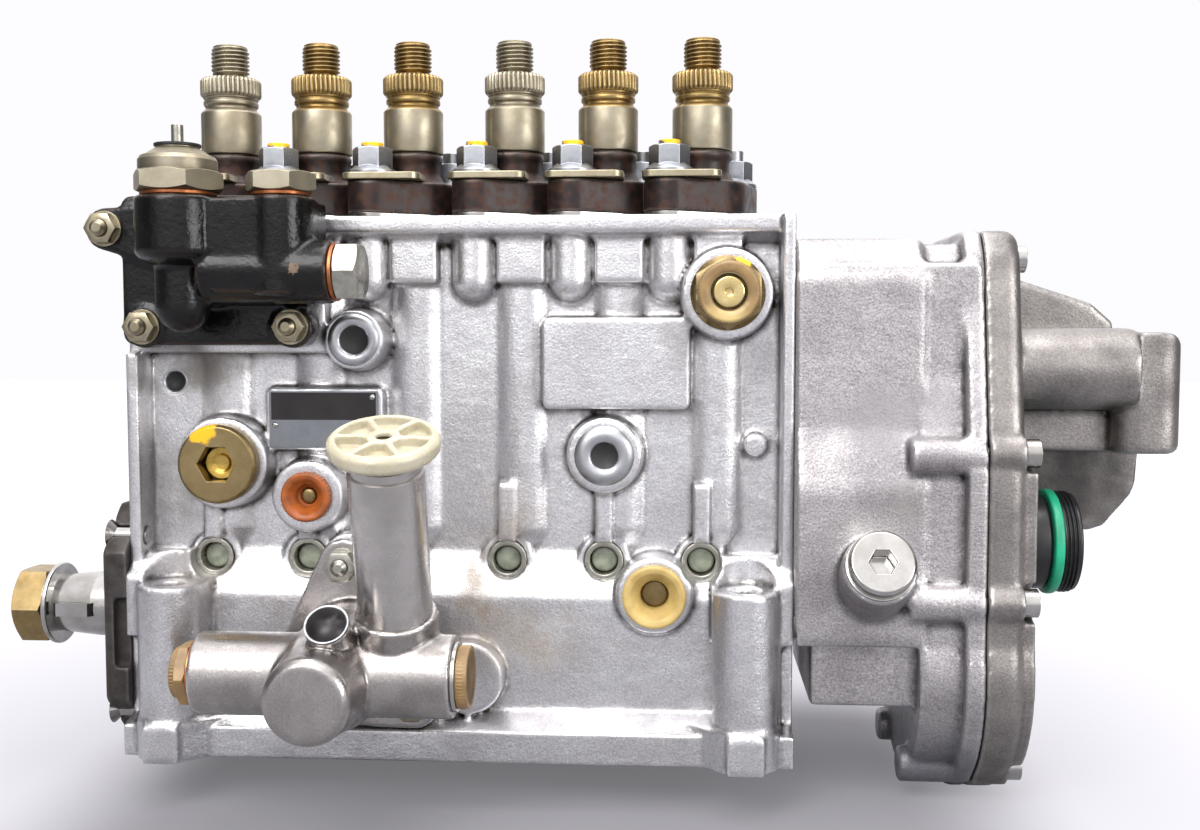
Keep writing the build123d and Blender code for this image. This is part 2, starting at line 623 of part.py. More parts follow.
def make_camshaft():
    """Camshaft with a tapered drive end, six lobes and the feed pump's eccentric."""
    with BuildPart() as camshaft:
        drive_inner = CUP_X[0] + BEARING_W
        turn(along(0, 0, CAM_Z), [
            (0, THREAD_END_X), (DRIVE_THREAD_R - 1, THREAD_END_X), (DRIVE_THREAD_R, THREAD_END_X + 1),
            (DRIVE_THREAD_R, TAPER_SMALL_X), (TAPER_SMALL_R, TAPER_SMALL_X), (SHAFT_R, TAPER_LARGE_X),
            (SHAFT_R, drive_inner), (SHOULDER_R, drive_inner), (SHOULDER_R, drive_inner + 2.5),
            (SHAFT_MID_R, drive_inner + 3.5), (SHAFT_MID_R, CUP_X[1] - 3.5), (SHOULDER_R, CUP_X[1] - 2.5),
            (SHOULDER_R, CUP_X[1]), (SHAFT_R, CUP_X[1]), (SHAFT_R, X1 + 1), (STUB_R, X1 + 1),
            (STUB_R, STUB_X), (0, STUB_X)])
        for x, angle in zip(ELEMENT_X, FIRING_ANGLES):
            with BuildSketch(along(x - LOBE_W / 2, 0, CAM_Z)) as lobe:
                Circle(BASE_CIRCLE_R)
                with PolarLocations(LOBE_TIP_R - NOSE_R, 1, start_angle=90 + angle):
                    Circle(NOSE_R)
                make_hull()
            extrude(lobe.sketch, amount=LOBE_W)
        rod(along(FEED_BOSS_X - ECCENTRIC_W / 2, ECCENTRIC_THROW, CAM_Z), ECCENTRIC_R, ECCENTRIC_W)
        extrude(key_outline(RUN), amount=KEY_W + 2 * RUN, mode=Mode.SUBTRACT)
    return camshaft


def make_speed_wheel():
    """Slotted disc on the camshaft's inner end, read by the speed sensor."""
    with BuildPart() as wheel:
        ring(along(WHEEL_X, 0, CAM_Z), WHEEL_R, STUB_R + RUN, WHEEL_T)
        with BuildSketch(along(WHEEL_X, 0, CAM_Z)) as slots:
            with PolarLocations(WHEEL_R, WHEEL_SLOTS):
                Rectangle(8, 6)
        extrude(slots.sketch, amount=WHEEL_T, mode=Mode.SUBTRACT)
    return wheel


def make_drive_key():
    """Woodruff key in the taper."""
    with BuildPart() as key:
        extrude(key_outline(0), amount=KEY_W)
    return key


def make_drive_washer():
    """Thick washer under the drive nut."""
    with BuildPart() as washer:
        ring(along(TAPER_SMALL_X - WASHER_T, 0, CAM_Z), WASHER_R, DRIVE_THREAD_R + RUN, WASHER_T)
        chamfer(washer.edges().filter_by(GeomType.CIRCLE).group_by(SortBy.RADIUS)[-1], length=0.4)
    return washer


def chamfered_nut(place, across_flats, height, bore, lean=0.30):
    """A hexagon nut with chamfered corners on both faces, about the normal of a plane."""
    corner = across_flats / math.sqrt(3)
    with BuildPart() as nut:
        hexagon(place, across_flats, height)
        cut = (corner - across_flats / 2) * lean * 2
        turn(place, [(bore, -0.01), (across_flats / 2 * 0.97, -0.01), (corner + 0.2, cut), (corner + 0.2, height - cut),
                     (across_flats / 2 * 0.97, height + 0.01), (bore, height + 0.01)], Mode.INTERSECT)
    return nut.part


def make_drive_nut():
    """Nut that holds the coupling hub on the taper."""
    with BuildPart() as nut:
        place = along(TAPER_SMALL_X - WASHER_T - DRIVE_NUT_T, 0, CAM_Z)
        add(chamfered_nut(place, DRIVE_NUT_AF, DRIVE_NUT_T, DRIVE_THREAD_R + RUN))
    return nut


def make_drive_flange():
    """Cast iron end plate with a spigot that carries the drive end bearing and the shaft seal."""
    with BuildPart() as flange:
        face_x = X0 - DRIVE_PLATE_T
        with BuildSketch(along(face_x, 0, CAM_Z)) as plate:
            Rectangle(DRIVE_PLATE_W, DRIVE_PLATE_H)
            chamfer(plate.vertices(), length=DRIVE_PLATE_CHAMFER)
        extrude(plate.sketch, amount=DRIVE_PLATE_T)
        fillet(flange.edges().group_by(Axis.X)[0], radius=1.5)
        rod(along(X0, 0, CAM_Z), DRIVE_SPIGOT_R, END_WALL_T)
        rod(along(CUP_X[0], 0, CAM_Z), BEARING_R + RUN, BEARING_W + 1, Mode.SUBTRACT)
        rod(along(face_x, 0, CAM_Z), SEAL_R + RUN, DRIVE_PLATE_T, Mode.SUBTRACT)
        block((X0 - 5, -DRIVE_PLATE_W / 2 - 1, CAM_Z - 15), (X0, -DRIVE_PLATE_W / 2 + 3, CAM_Z + 10), Mode.SUBTRACT)
        for side in SIDES:
            for face in SIDES:
                place = along(face_x, face * DRIVE_SCREW_Y, CAM_Z + side * DRIVE_SCREW_Z)
                head, hole = SCREW_HEAD_R + SLIP, SCREW_R + SLIP
                turn(place, [(0, 0), (head, 0), (hole, head - hole), (hole, DRIVE_PLATE_T + 1),
                             (0, DRIVE_PLATE_T + 1)], Mode.SUBTRACT)
    return flange


CUP_INNER = (19.9, 21.4)       # taper of the roller track
CONE_GAP = 0.3


def make_bearing_cups():
    """Outer races of the two tapered roller bearings."""
    small, large = CUP_INNER
    with BuildPart() as cups:
        turn(along(CUP_X[0], 0, CAM_Z), [(small, 0), (BEARING_R, 0), (BEARING_R, BEARING_W), (large, BEARING_W)])
        turn(along(CUP_X[1], 0, CAM_Z), [(large, 0), (BEARING_R, 0), (BEARING_R, BEARING_W), (small, BEARING_W)])
    return cups


def make_bearing_cones():
    """Inner races of the two bearings, each with its cage and rollers as one ring."""
    small, large = (radius - CONE_GAP for radius in CUP_INNER)
    inner = SHAFT_R + 0.02
    with BuildPart() as cones:
        turn(along(CUP_X[0], 0, CAM_Z), [(inner, 0), (small, 0), (large, BEARING_W), (inner, BEARING_W)])
        turn(along(CUP_X[1], 0, CAM_Z), [(inner, 0), (large, 0), (small, BEARING_W), (inner, BEARING_W)])
    return cones


def make_shaft_seal():
    """Lip seal in the drive end plate."""
    with BuildPart() as seal:
        ring(along(CUP_X[0] - SEAL_W - SLIP, 0, CAM_Z), SEAL_R, SHAFT_R + RUN, SEAL_W)
    return seal


# ------------------------------------------------------------------ pumping elements
BARREL_BOTTOM_Z = 128.0
COLLAR_TOP_Z = 184.0
BARREL_HEAD_R = 12.9
BARREL_TOP_Z = 190.0
BARREL_SKIRT_R = SLEEVE_R - SLEEVE_WALL - SLIP
PORT_R = 1.6
PORT_Z = 167.0
SLEEVE_STEP_Z = 126.0
SLEEVE_TOP_Z = CHAMBER_TOP_Z - FREE
SLEEVE_LOW_BORE_R = PLUNGER_R + 0.6
VANE_Z = 110.0
PLUNGER_STEM_R = 4.6
PLUNGER_TOP_Z = 183.0
HELIX_CUT = 3.0
HOLDER_INNER_R = 7.9
HOLDER_FOOT_Z = 197.0
VALVE_CHAMBER_R = 5.2
VALVE_CHAMBER_Z = 211.0
FLANGE_BORE_R = HOLDER_INNER_R + SLIP


def make_barrels():
    """Six barrels with their fill ports, each hung in its bore under a flange."""
    with BuildPart() as barrel:
        bore = PLUNGER_R + RUN
        turn(up(0, 0, 0), [
            (bore, BARREL_BOTTOM_Z), (BARREL_SKIRT_R, BARREL_BOTTOM_Z), (BARREL_SKIRT_R, CHAMBER_TOP_Z),
            (BARREL_NECK_R - RUN, CHAMBER_TOP_Z), (BARREL_NECK_R - RUN, GALLERY_HIGH_Z),
            (BARREL_R - RUN, GALLERY_HIGH_Z), (BARREL_R - RUN, COLLAR_TOP_Z), (BARREL_HEAD_R, COLLAR_TOP_Z),
            (BARREL_HEAD_R, BARREL_TOP_Z), (bore, BARREL_TOP_Z)])
        rod(along(-BARREL_R, 0, PORT_Z), PORT_R, 2 * BARREL_R, Mode.SUBTRACT)
    with BuildPart() as barrels:
        with Locations(*[(x, 0, 0) for x in ELEMENT_X]):
            add(barrel.part)
    return barrels


def make_plunger_sleeve(x):
    """A plunger and the control sleeve that turns it, as two solids of one turning unit."""
    with BuildPart() as sleeve:
        turn(up(x, 0, 0), [
            (SLEEVE_LOW_BORE_R, SLEEVE_BOTTOM_Z), (SLEEVE_R, SLEEVE_BOTTOM_Z), (SLEEVE_R, SLEEVE_TOP_Z),
            (SLEEVE_R - SLEEVE_WALL, SLEEVE_TOP_Z), (SLEEVE_R - SLEEVE_WALL, SLEEVE_STEP_Z),
            (SLEEVE_LOW_BORE_R, SLEEVE_STEP_Z)])
        rest = math.radians(ARM_REST)
        tip = (x - ARM_R * math.sin(rest), ARM_R * math.cos(rest))
        root = (x - (SLEEVE_R - 1) * math.sin(rest), (SLEEVE_R - 1) * math.cos(rest))
        with BuildSketch(up(0, 0, ARM_Z)) as arm:
            for centre in (tip, root):
                with Locations(centre):
                    Circle(ARM_W / 2)
            make_hull()
        extrude(arm.sketch, amount=ARM_T)
        rod(up(x, 0, SLEEVE_STEP_Z), SLEEVE_R - SLEEVE_WALL, SLEEVE_TOP_Z - SLEEVE_STEP_Z, Mode.SUBTRACT)
        rod(up(*tip, RACK_Z + FREE), ARM_PIN_R, ARM_Z + 1 - RACK_Z - FREE)
        blocks((VANE_W + 2 * FREE, VANE_T + 2 * SLIP, SLEEVE_STEP_Z - SLEEVE_BOTTOM_Z),
               [(x, 0, (SLEEVE_STEP_Z + SLEEVE_BOTTOM_Z) / 2)], Mode.SUBTRACT)
    with BuildPart() as plunger:
        foot_top = PLUNGER_BOTTOM_Z + PLUNGER_FOOT_T
        turn(up(x, 0, 0), [
            (0, PLUNGER_BOTTOM_Z), (PLUNGER_FOOT_R, PLUNGER_BOTTOM_Z), (PLUNGER_FOOT_R, foot_top),
            (PLUNGER_STEM_R, foot_top), (PLUNGER_STEM_R, VANE_Z), (PLUNGER_R, VANE_Z + VANE_H),
            (PLUNGER_R, PLUNGER_TOP_Z), (0, PLUNGER_TOP_Z)])
        block((x - VANE_W / 2, -VANE_T / 2, VANE_Z), (x + VANE_W / 2, VANE_T / 2, VANE_Z + VANE_H))
        with BuildSketch(ahead(x, -PLUNGER_R + 1.6, PLUNGER_TOP_Z)) as helix_edge:
            with BuildLine():
                Polyline((-PLUNGER_R, -6), (PLUNGER_R, -16), (PLUNGER_R, -19), (-PLUNGER_R, -19), close=True)
            make_face()
            with Locations((-PLUNGER_R / 2, -9)):
                Rectangle(HELIX_CUT, 20)
        extrude(helix_edge.sketch, amount=3, mode=Mode.SUBTRACT)
    with BuildPart() as unit:
        add(sleeve.part)
        add(plunger.part)
    return unit


def make_roller_tappets():
    """Six roller tappets: body, roller and pin of each as separate solids."""
    bottom = ROLLER_Z - TAPPET_SKIRT
    slot_w, slot_l = ROLLER_W + 0.8, 2 * 12.2
    with BuildPart() as body:
        turn(up(0, 0, 0), [
            (0, bottom), (TAPPET_R, bottom), (TAPPET_R, TAPPET_TOP_Z), (PLUNGER_FOOT_R + 0.4, TAPPET_TOP_Z),
            (PLUNGER_FOOT_R + 0.4, TAPPET_TOP_Z - SEAT_DEPTH), (0, TAPPET_TOP_Z - SEAT_DEPTH)])
        slot_top = ROLLER_Z + ROLLER_R + 0.6
        block((-slot_w / 2, -slot_l / 2, bottom - 1), (slot_w / 2, slot_l / 2, slot_top), Mode.SUBTRACT)
        rod(along(-TAPPET_R, 0, ROLLER_Z), ROLLER_PIN_R + RUN, 2 * TAPPET_R, Mode.SUBTRACT)
        groove_y = TAPPET_R - GUIDE_TONGUE_IN - 0.4
        block((-GUIDE_TONGUE_W / 2 - SLIP, -TAPPET_R - 1, bottom - 1), (GUIDE_TONGUE_W / 2 + SLIP, -groove_y, 90),
              Mode.SUBTRACT)
    with BuildPart() as roller:
        ring(along(-ROLLER_W / 2, 0, ROLLER_Z), ROLLER_R, ROLLER_PIN_R + RUN, ROLLER_W)
    with BuildPart() as pin:
        rod(along(-TAPPET_R + 3, 0, ROLLER_Z), ROLLER_PIN_R, 2 * TAPPET_R - 6)
    with BuildPart() as tappets:
        for piece in (body, roller, pin):
            with Locations(*[(x, 0, 0) for x in ELEMENT_X]):
                add(piece.part)
    return tappets


def coil_spring(radius, wire, height, turns):
    """A coil spring that stands on the origin, with a six-sided wire."""
    with BuildPart() as spring:
        with BuildLine() as path:
            Helix(pitch=(height - wire) / turns, height=height - wire, radius=radius, center=(0, 0, wire / 2))
        with BuildSketch(Plane(origin=path.line @ 0, z_dir=path.line % 0)):
            RegularPolygon(wire / 2, 6)
        sweep(is_frenet=True)
    return spring.part


def make_plunger_springs():
    """Six return springs between the tappets and the shelf above them."""
    spring = coil_spring(SPRING_R, SPRING_WIRE, SPRING_SHELF_Z - TAPPET_TOP_Z - 2 * SLIP, SPRING_TURNS)
    with BuildPart() as springs:
        with Locations(*[(x, 0, TAPPET_TOP_Z + SLIP) for x in ELEMENT_X]):
            add(spring)
    return springs


def make_delivery_valves():
    """Six delivery valves: seat, cone and spring of each as separate solids."""
    seat_top = HOLDER_FOOT_Z - 0.3
    with BuildPart() as seat:
        ring(up(0, 0, BARREL_TOP_Z + RUN), HOLDER_INNER_R, 3.1, seat_top - BARREL_TOP_Z - RUN)
    with BuildPart() as cone:
        turn(up(0, 0, 0), [(0, BARREL_TOP_Z + 1), (3.0, BARREL_TOP_Z + 1), (3.0, seat_top + 0.1),
                           (4.4, seat_top + 1.5), (4.4, seat_top + 2.5), (1.5, seat_top + 2.5), (0, seat_top + 4)])
    spring_z = seat_top + 2.7
    spring = coil_spring(3.2, 1.2, VALVE_CHAMBER_Z - spring_z - 2 * SLIP, 4)
    with BuildPart() as valves:
        for piece, z in ((seat.part, 0), (cone.part, 0), (spring, spring_z)):
            with Locations(*[(x, 0, z) for x in ELEMENT_X]):
                add(piece)
    return valves


def flange_outline(grow=0.0):
    """Two-lobed outline of a barrel flange about its element's axis."""
    with BuildSketch() as outline:
        Circle(FLANGE_MID_R + grow)
        with Locations((-STUD_DX, -STUD_DY), (STUD_DX, STUD_DY)):
            Circle(FLANGE_LOBE_R + grow)
        make_hull()
        with Locations((-STUD_DX, -STUD_DY), (STUD_DX, STUD_DY)):
            Circle(STUD_R + SLIP, mode=Mode.SUBTRACT)
    return outline.sketch


def make_barrel_flanges():
    """Six flanges that clamp the barrels, with the necks that the holders screw into."""
    spigot_r = BARREL_R - RUN
    with BuildPart() as flange:
        extrude(Plane(origin=(0, 0, FLANGE_Z)) * flange_outline(), amount=FLANGE_T)
        turn(up(0, 0, 0), [
            (0, COLLAR_TOP_Z + RUN), (spigot_r, COLLAR_TOP_Z + RUN), (spigot_r, FLANGE_Z), (spigot_r - 1, FLANGE_TOP_Z),
            (12.2, FLANGE_TOP_Z), (FLANGE_NECK_R, FLANGE_TOP_Z + 3.5), (FLANGE_NECK_R, FLANGE_TOP_Z + 7.5),
            (FLANGE_NECK_TOP_R, FLANGE_TOP_Z + 9), (FLANGE_NECK_TOP_R, HOLDER_BODY_Z - SLIP),
            (0, HOLDER_BODY_Z - SLIP)])
        turn(up(0, 0, 0), [
            (0, COLLAR_TOP_Z - 1), (BARREL_HEAD_R + RUN, COLLAR_TOP_Z - 1), (BARREL_HEAD_R + RUN, BARREL_TOP_Z + RUN),
            (FLANGE_BORE_R, BARREL_TOP_Z + RUN), (FLANGE_BORE_R, HOLDER_BODY_Z), (0, HOLDER_BODY_Z)], Mode.SUBTRACT)
        rod([up(side * STUD_DX, side * STUD_DY, FLANGE_TOP_Z) for side in SIDES], NUT_FLANGE_R + FREE, 4,
            Mode.SUBTRACT)
    with BuildPart() as flanges:
        with Locations(*[(x, 0, 0) for x in ELEMENT_X]):
            add(flange.part)
    return flanges


def make_flange_shims():
    """Thin shims between the housing and the flanges."""
    with BuildSketch(Plane.XY.offset(TOP_Z)) as outline:
        add(flange_outline())
        Circle(BARREL_R + SLIP, mode=Mode.SUBTRACT)
    with BuildPart() as shim:
        extrude(outline.sketch, amount=SHIM_T)
    with BuildPart() as shims:
        with Locations(*[(x, 0, 0) for x in ELEMENT_X]):
            add(shim.part)
    return shims


SADDLE_SIZE = (28.5, 16.0)
SADDLE_AT = (-7.5, -17.2)


def make_flange_saddles():
    """Thin plates under the front nuts, cut round the flanges' necks."""
    with BuildPart() as saddle:
        with BuildSketch(up(0, 0, FLANGE_TOP_Z)) as outline:
            with Locations(SADDLE_AT):
                RectangleRounded(*SADDLE_SIZE, 4)
            with Locations((-STUD_DX, -STUD_DY)):
                Circle(STUD_R + SLIP, mode=Mode.SUBTRACT)
            Circle(12.4, mode=Mode.SUBTRACT)
        extrude(amount=SADDLE_T)
    with BuildPart() as saddles:
        with Locations(*[(x, 0, 0) for x in ELEMENT_X]):
            add(saddle.part)
    return saddles


def stud_places(top):
    """Places of the twelve flange studs, front ones first, at a height for each row."""
    return [(x - STUD_DX, -STUD_DY, top[0]) for x in ELEMENT_X] + [(x + STUD_DX, STUD_DY, top[1]) for x in ELEMENT_X]


def make_flange_nuts():
    """Twelve flanged hexagon nuts."""
    with BuildPart() as nut:
        add(chamfered_nut(up(0, 0, NUT_FLANGE_T - 0.6), NUT_AF, NUT_H - NUT_FLANGE_T + 0.6, STUD_R + RUN))
        turn(up(0, 0, 0), [(STUD_R + RUN, 0), (NUT_FLANGE_R, 0), (NUT_FLANGE_R, 1.0), (NUT_AF / 2, NUT_FLANGE_T + 0.8),
                           (STUD_R + RUN, NUT_FLANGE_T + 0.8)])
    with BuildPart() as nuts:
        with Locations(*stud_places((SADDLE_TOP_Z, FLANGE_TOP_Z))):
            add(nut.part)
    return nuts


def make_flange_studs():
    """Twelve studs screwed into the housing's top."""
    foot = TOP_Z - STUD_IN + SLIP
    with BuildPart() as studs:
        rod([up(x, y, z) for x, y, z in stud_places((foot, foot))], STUD_R - RUN, STUD_TOP_Z - foot)
    return studs


def make_delivery_holder(x):
    """Delivery valve holder with a splined collar and the injection line's thread."""
    low, high = HOLDER_COLLAR_Z
    groove_low, groove_high = HOLDER_GROOVE_Z
    with BuildPart() as holder:
        turn(up(x, 0, 0), [
            (HOLDER_BORE_R, HOLDER_FOOT_Z + SLIP), (HOLDER_INNER_R, HOLDER_FOOT_Z + SLIP),
            (HOLDER_INNER_R, HOLDER_BODY_Z), (HOLDER_BODY_R, HOLDER_BODY_Z), (HOLDER_BODY_R, HOLDER_SHOULDER_Z),
            (HOLDER_WAIST_R, groove_low), (HOLDER_WAIST_R - 0.7, groove_low + 0.6), (HOLDER_WAIST_R - 0.7, groove_high),
            (HOLDER_WAIST_R, groove_high + 0.5), (HOLDER_WAIST_R, low), (HOLDER_COLLAR_R - 0.8, low),
            (HOLDER_COLLAR_R, low + 0.8), (HOLDER_COLLAR_R, high - 0.8), (HOLDER_COLLAR_R - 1.2, high),
            (HOLDER_NECK_R, high), (HOLDER_NECK_R, HOLDER_TOP_Z - HOLDER_THREAD_L),
            (HOLDER_THREAD_R, HOLDER_TOP_Z - HOLDER_THREAD_L + 0.8), (HOLDER_THREAD_R, HOLDER_TOP_Z - 0.8),
            (HOLDER_THREAD_R - 0.8, HOLDER_TOP_Z), (3.4, HOLDER_TOP_Z), (HOLDER_BORE_R, HOLDER_TOP_Z - 3.4)])
        turn(up(x, 0, 0), [(0, HOLDER_FOOT_Z), (VALVE_CHAMBER_R, HOLDER_FOOT_Z), (VALVE_CHAMBER_R, VALVE_CHAMBER_Z),
                           (0, VALVE_CHAMBER_Z)], Mode.SUBTRACT)
        with BuildSketch(up(x, 0, low)) as teeth:
            with PolarLocations(HOLDER_COLLAR_R, HOLDER_TEETH):
                Rectangle(1.8, 1.1)
        extrude(teeth.sketch, amount=high - low, mode=Mode.SUBTRACT)
    return holder


# ------------------------------------------------------------------ control rack and guides
RACK_BAR_X1 = 83.0
RACK_ROD_X1 = 160.0
RACK_SLOT_DEPTH = 8.0


def make_control_rack():
    """Flat rack bar with one slot for each sleeve's arm, and a round rod to the armature."""
    with BuildPart() as rack:
        block((CAVITY_X0 + 1, RACK_INNER_Y, RACK_Z), (RACK_BAR_X1, RACK_INNER_Y + RACK_W, RACK_Z + RACK_T))
        slot_w = 2 * (ARM_PIN_R + RACK_SLOT_SLACK)
        with BuildSketch(up(0, 0, RACK_Z)) as slots:
            with Locations(*[(x - RACK_TRAVEL / 2, RACK_INNER_Y) for x in ELEMENT_X]):
                RectangleRounded(slot_w, 2 * RACK_SLOT_DEPTH, slot_w / 2 - 0.1)
        extrude(slots.sketch, amount=RACK_T, mode=Mode.SUBTRACT)
        rod(along(RACK_BAR_X1 - 3, RACK_ROD_Y, RACK_ROD_Z), RACK_ROD_R, RACK_ROD_X1 - RACK_BAR_X1 + 3)
    return rack


def make_rack_armature():
    """Iron armature on the rack's rod."""
    with BuildPart() as armature:
        place = along(RACK_ROD_X1 - ARMATURE_L, RACK_ROD_Y, RACK_ROD_Z)
        ring(place, ARMATURE_R, RACK_ROD_R + RUN, ARMATURE_L)
    return armature


def make_actuator_coil():
    """Coil and core of the linear actuator, mounted inside the governor cover."""
    with BuildPart() as coil:
        start = RACK_ROD_X1 - ARMATURE_L - 4
        ring(along(start, RACK_ROD_Y, RACK_ROD_Z), COIL_R, COIL_BORE_R, GOV_JOINT_X - start - SLIP)
    return coil


def make_guide_bushes():
    """Six bushes in the tappet guide bosses."""
    with BuildPart() as bushes:
        ring([ahead(x, -GUIDE_BUSH_Y, GUIDE_Z) for x in ELEMENT_X], GUIDE_BUSH_R - RUN, GUIDE_HOLE_R,
             GUIDE_BOSS_Y - GUIDE_BUSH_Y + 0.3)
    return bushes


def make_guide_pins():
    """Six guide pins, each with a tongue that runs in its tappet's groove."""
    tip_y = TAPPET_R - GUIDE_TONGUE_IN
    root_y = BORE_R + 0.4
    with BuildPart() as pins:
        rod([ahead(x, -root_y, GUIDE_Z) for x in ELEMENT_X], GUIDE_HOLE_R - RUN, 4.6)
        blocks((GUIDE_TONGUE_W, root_y - tip_y + 1, GUIDE_TONGUE_W),
               [(x, -(root_y + tip_y + 1) / 2, GUIDE_Z) for x in ELEMENT_X])
    return pins


# ------------------------------------------------------------------ front wall ports
PLUG_T = 5.5
PLUG_SOCKET_AF = 12.0
OVERFLOW_AF = 22.0
OVERFLOW_HEX_T = 9.0
OVERFLOW_COLLAR = (9.9, 14.0)   # radius, front face above the seat
OVERFLOW_WASHER_R = 12.9
OVERFLOW_INSERT_R = 6.2
CAP_T = 3.0


def socket_plug(place, radius, thickness, shank_r, shank_l, socket_af):
    """A round-headed plug with a hexagon socket; the plane lies on its seat and faces outwards."""
    with BuildPart() as plug:
        edge = 1.0
        turn(place, [(0, -shank_l), (shank_r, -shank_l), (shank_r, 0), (radius, 0), (radius, thickness - edge),
                     (radius - edge, thickness), (0, thickness)])
        socket = place.offset(thickness - 7)
        hexagon(socket, socket_af, 8, Mode.SUBTRACT)
    return plug.part


def make_gallery_plug():
    """Large socket plug of the rack chamber."""
    x, z, _radius, face_y, hole, depth = FRONT_PORTS["gallery"]
    with BuildPart() as plug:
        add(socket_plug(ahead(x, -face_y, z), 14.2, PLUG_T, hole - RUN, depth - 1, PLUG_SOCKET_AF))
    return plug


def plastic_cap(port, radius, bore):
    """A plastic transport cap pressed into a port, with a blind hole in its middle."""
    x, z, _radius, face_y, hole, depth = FRONT_PORTS[port]
    with BuildPart() as cap:
        turn(ahead(x, -face_y, z), [
            (0, -depth + 1), (hole - RUN, -depth + 1), (hole - RUN, 0), (radius, 0), (radius, CAP_T - 0.6),
            (radius - 0.8, CAP_T), (bore + 2.5, CAP_T - 0.4), (bore, CAP_T - 2.5), (bore, -depth + 4), (0, -depth + 4)])
    return cap


def make_overflow_valve():
    """Hexagonal overflow valve with a conical washer and a round insert."""
    x, z, _radius, face_y, hole, depth = FRONT_PORTS["overflow"]
    place = ahead(x, -face_y, z)
    turned = Plane(origin=place.origin, x_dir=(0, 0, 1), z_dir=place.z_dir)
    with BuildPart() as valve:
        add(chamfered_nut(turned, OVERFLOW_AF, OVERFLOW_HEX_T, 0.0))
        collar_r, front = OVERFLOW_COLLAR
        turn(place, [
            (0, -depth + 1), (hole - RUN, -depth + 1), (hole - RUN, 0), (OVERFLOW_WASHER_R, 0),
            (OVERFLOW_WASHER_R, 1.2), (OVERFLOW_WASHER_R - 1.4, 2.4), (collar_r, 2.4), (collar_r, front - 0.6),
            (collar_r - 0.6, front), (OVERFLOW_INSERT_R, front), (OVERFLOW_INSERT_R, front - 1.6),
            (OVERFLOW_INSERT_R - 1, front - 1.6), (OVERFLOW_INSERT_R - 1, front - 0.8), (0, front - 0.8)])
    return valve


# ------------------------------------------------------------------ feed pump and hand primer
FEED_PISTON_R = 10.0
FEED_PISTON_Y = (-98.0, -66.0)
FEED_ROD_TIP_Y = -(ECCENTRIC_R + ECCENTRIC_THROW + PARK + 0.3)
FEED_PORT_R = 9.0
FEED_PORT_DEPTH = 18.0
FEED_HEX_AF = 19.0
FEED_CAP_R = 10.2
FEED_CAP_T = 3.8
FEED_CAP_SEAT = 1.5             # the washer under the cap
CLAMP_NUT_AF = 10.0
CLAMP_NUT_H = 5.0
CLAMP_STUD_OUT = 7.4
PRIMER = leaning(PRIMER_FOOT, PRIMER_LEAN, PRIMER_SWAY)
PRIMER_SOCKET_R = 13.6
PRIMER_SOCKET_L = 22.0
PRIMER_FLOOR = 3.0
PRIMER_CAP_T = 2.6
PRIMER_CAP_R = 11.4
PISTON_T = 8.0
PISTON_REST = 4.0
KNOB_HUB_R = 5.4
KNOB_SPOKES = 6


def make_feed_pump_body():
    """Cast body of the piston feed pump: flange, cross tube, piston housing and primer socket."""
    with BuildPart() as body:
        extrude(feed_flange_sketch(), amount=FEED_FLANGE_T)
        rod(along(FEED_X0, FEED_Y, FEED_Z), FEED_R, FEED_X1 - FEED_X0)
        turn(ahead(FEED_BOSS_X, -FEED_PAD_Y, FEED_BOSS_Z), [
            (0, 0), (21, 0), (20, FEED_FLANGE_T), (18, -FEED_Y - FEED_PAD_Y), (FEED_BOSS_R + 1.2, 54),
            (FEED_BOSS_R, -FEED_BOSS_Y - FEED_PAD_Y - 2), (FEED_BOSS_R - 2, -FEED_BOSS_Y - FEED_PAD_Y),
            (0, -FEED_BOSS_Y - FEED_PAD_Y)])
        rod(PRIMER.offset(-PRIMER_SOCKET_L), PRIMER_SOCKET_R, PRIMER_SOCKET_L)
        rod(leaning((-31.5, -77.0, 45.0), 45), 7.2, 20.0)
        block((FEED_BOSS_X, FEED_Y, FEED_Z - 8), (PRIMER_FOOT[0] + 8, -FEED_PAD_Y - 2, FEED_Z + 14))
        rod(ahead(FEED_BOSS_X, -FEED_PAD_Y + 1, FEED_BOSS_Z), FEED_PISTON_R + RUN, -FEED_PISTON_Y[0] - FEED_PAD_Y + 2,
            Mode.SUBTRACT)
        for x, step in ((FEED_X0, FEED_PORT_DEPTH), (FEED_X1, -FEED_PORT_DEPTH)):
            rod(along(min(x, x + step), FEED_Y, FEED_Z), FEED_PORT_R, FEED_PORT_DEPTH, Mode.SUBTRACT)
        rod(PRIMER.offset(-PRIMER_SOCKET_L / 2), 6.0, PRIMER_SOCKET_L, Mode.SUBTRACT)
        rod([ahead(x, 0, z) for x, z in FEED_STUDS], FRONT_STUD_R + SLIP, -FEED_FLANGE_Y + 20, Mode.SUBTRACT)
    return body


def make_feed_pump_plugs():
    """Hexagon plug on the inlet side and round transport cap on the outlet side."""
    with BuildPart() as plugs:
        rod(along(FEED_X0, FEED_Y, FEED_Z), FEED_PORT_R - RUN, FEED_PORT_DEPTH - 4)
        place = along(FEED_X0 - 5.6, FEED_Y, FEED_Z)
        add(chamfered_nut(place, FEED_HEX_AF, 4.4, 0.0))
        rod(along(FEED_X0 - 1.2, FEED_Y, FEED_Z), FEED_PORT_R - 1, 2)
        rod(along(FEED_X1 - FEED_PORT_DEPTH + 4, FEED_Y, FEED_Z), FEED_PORT_R - RUN, FEED_PORT_DEPTH - 4)
        rod(along(FEED_X1, FEED_Y, FEED_Z), FEED_PORT_R - 1, FEED_CAP_SEAT + 0.1)
        rod(along(FEED_X1 + FEED_CAP_SEAT, FEED_Y, FEED_Z), FEED_CAP_R, FEED_CAP_T)
    return plugs


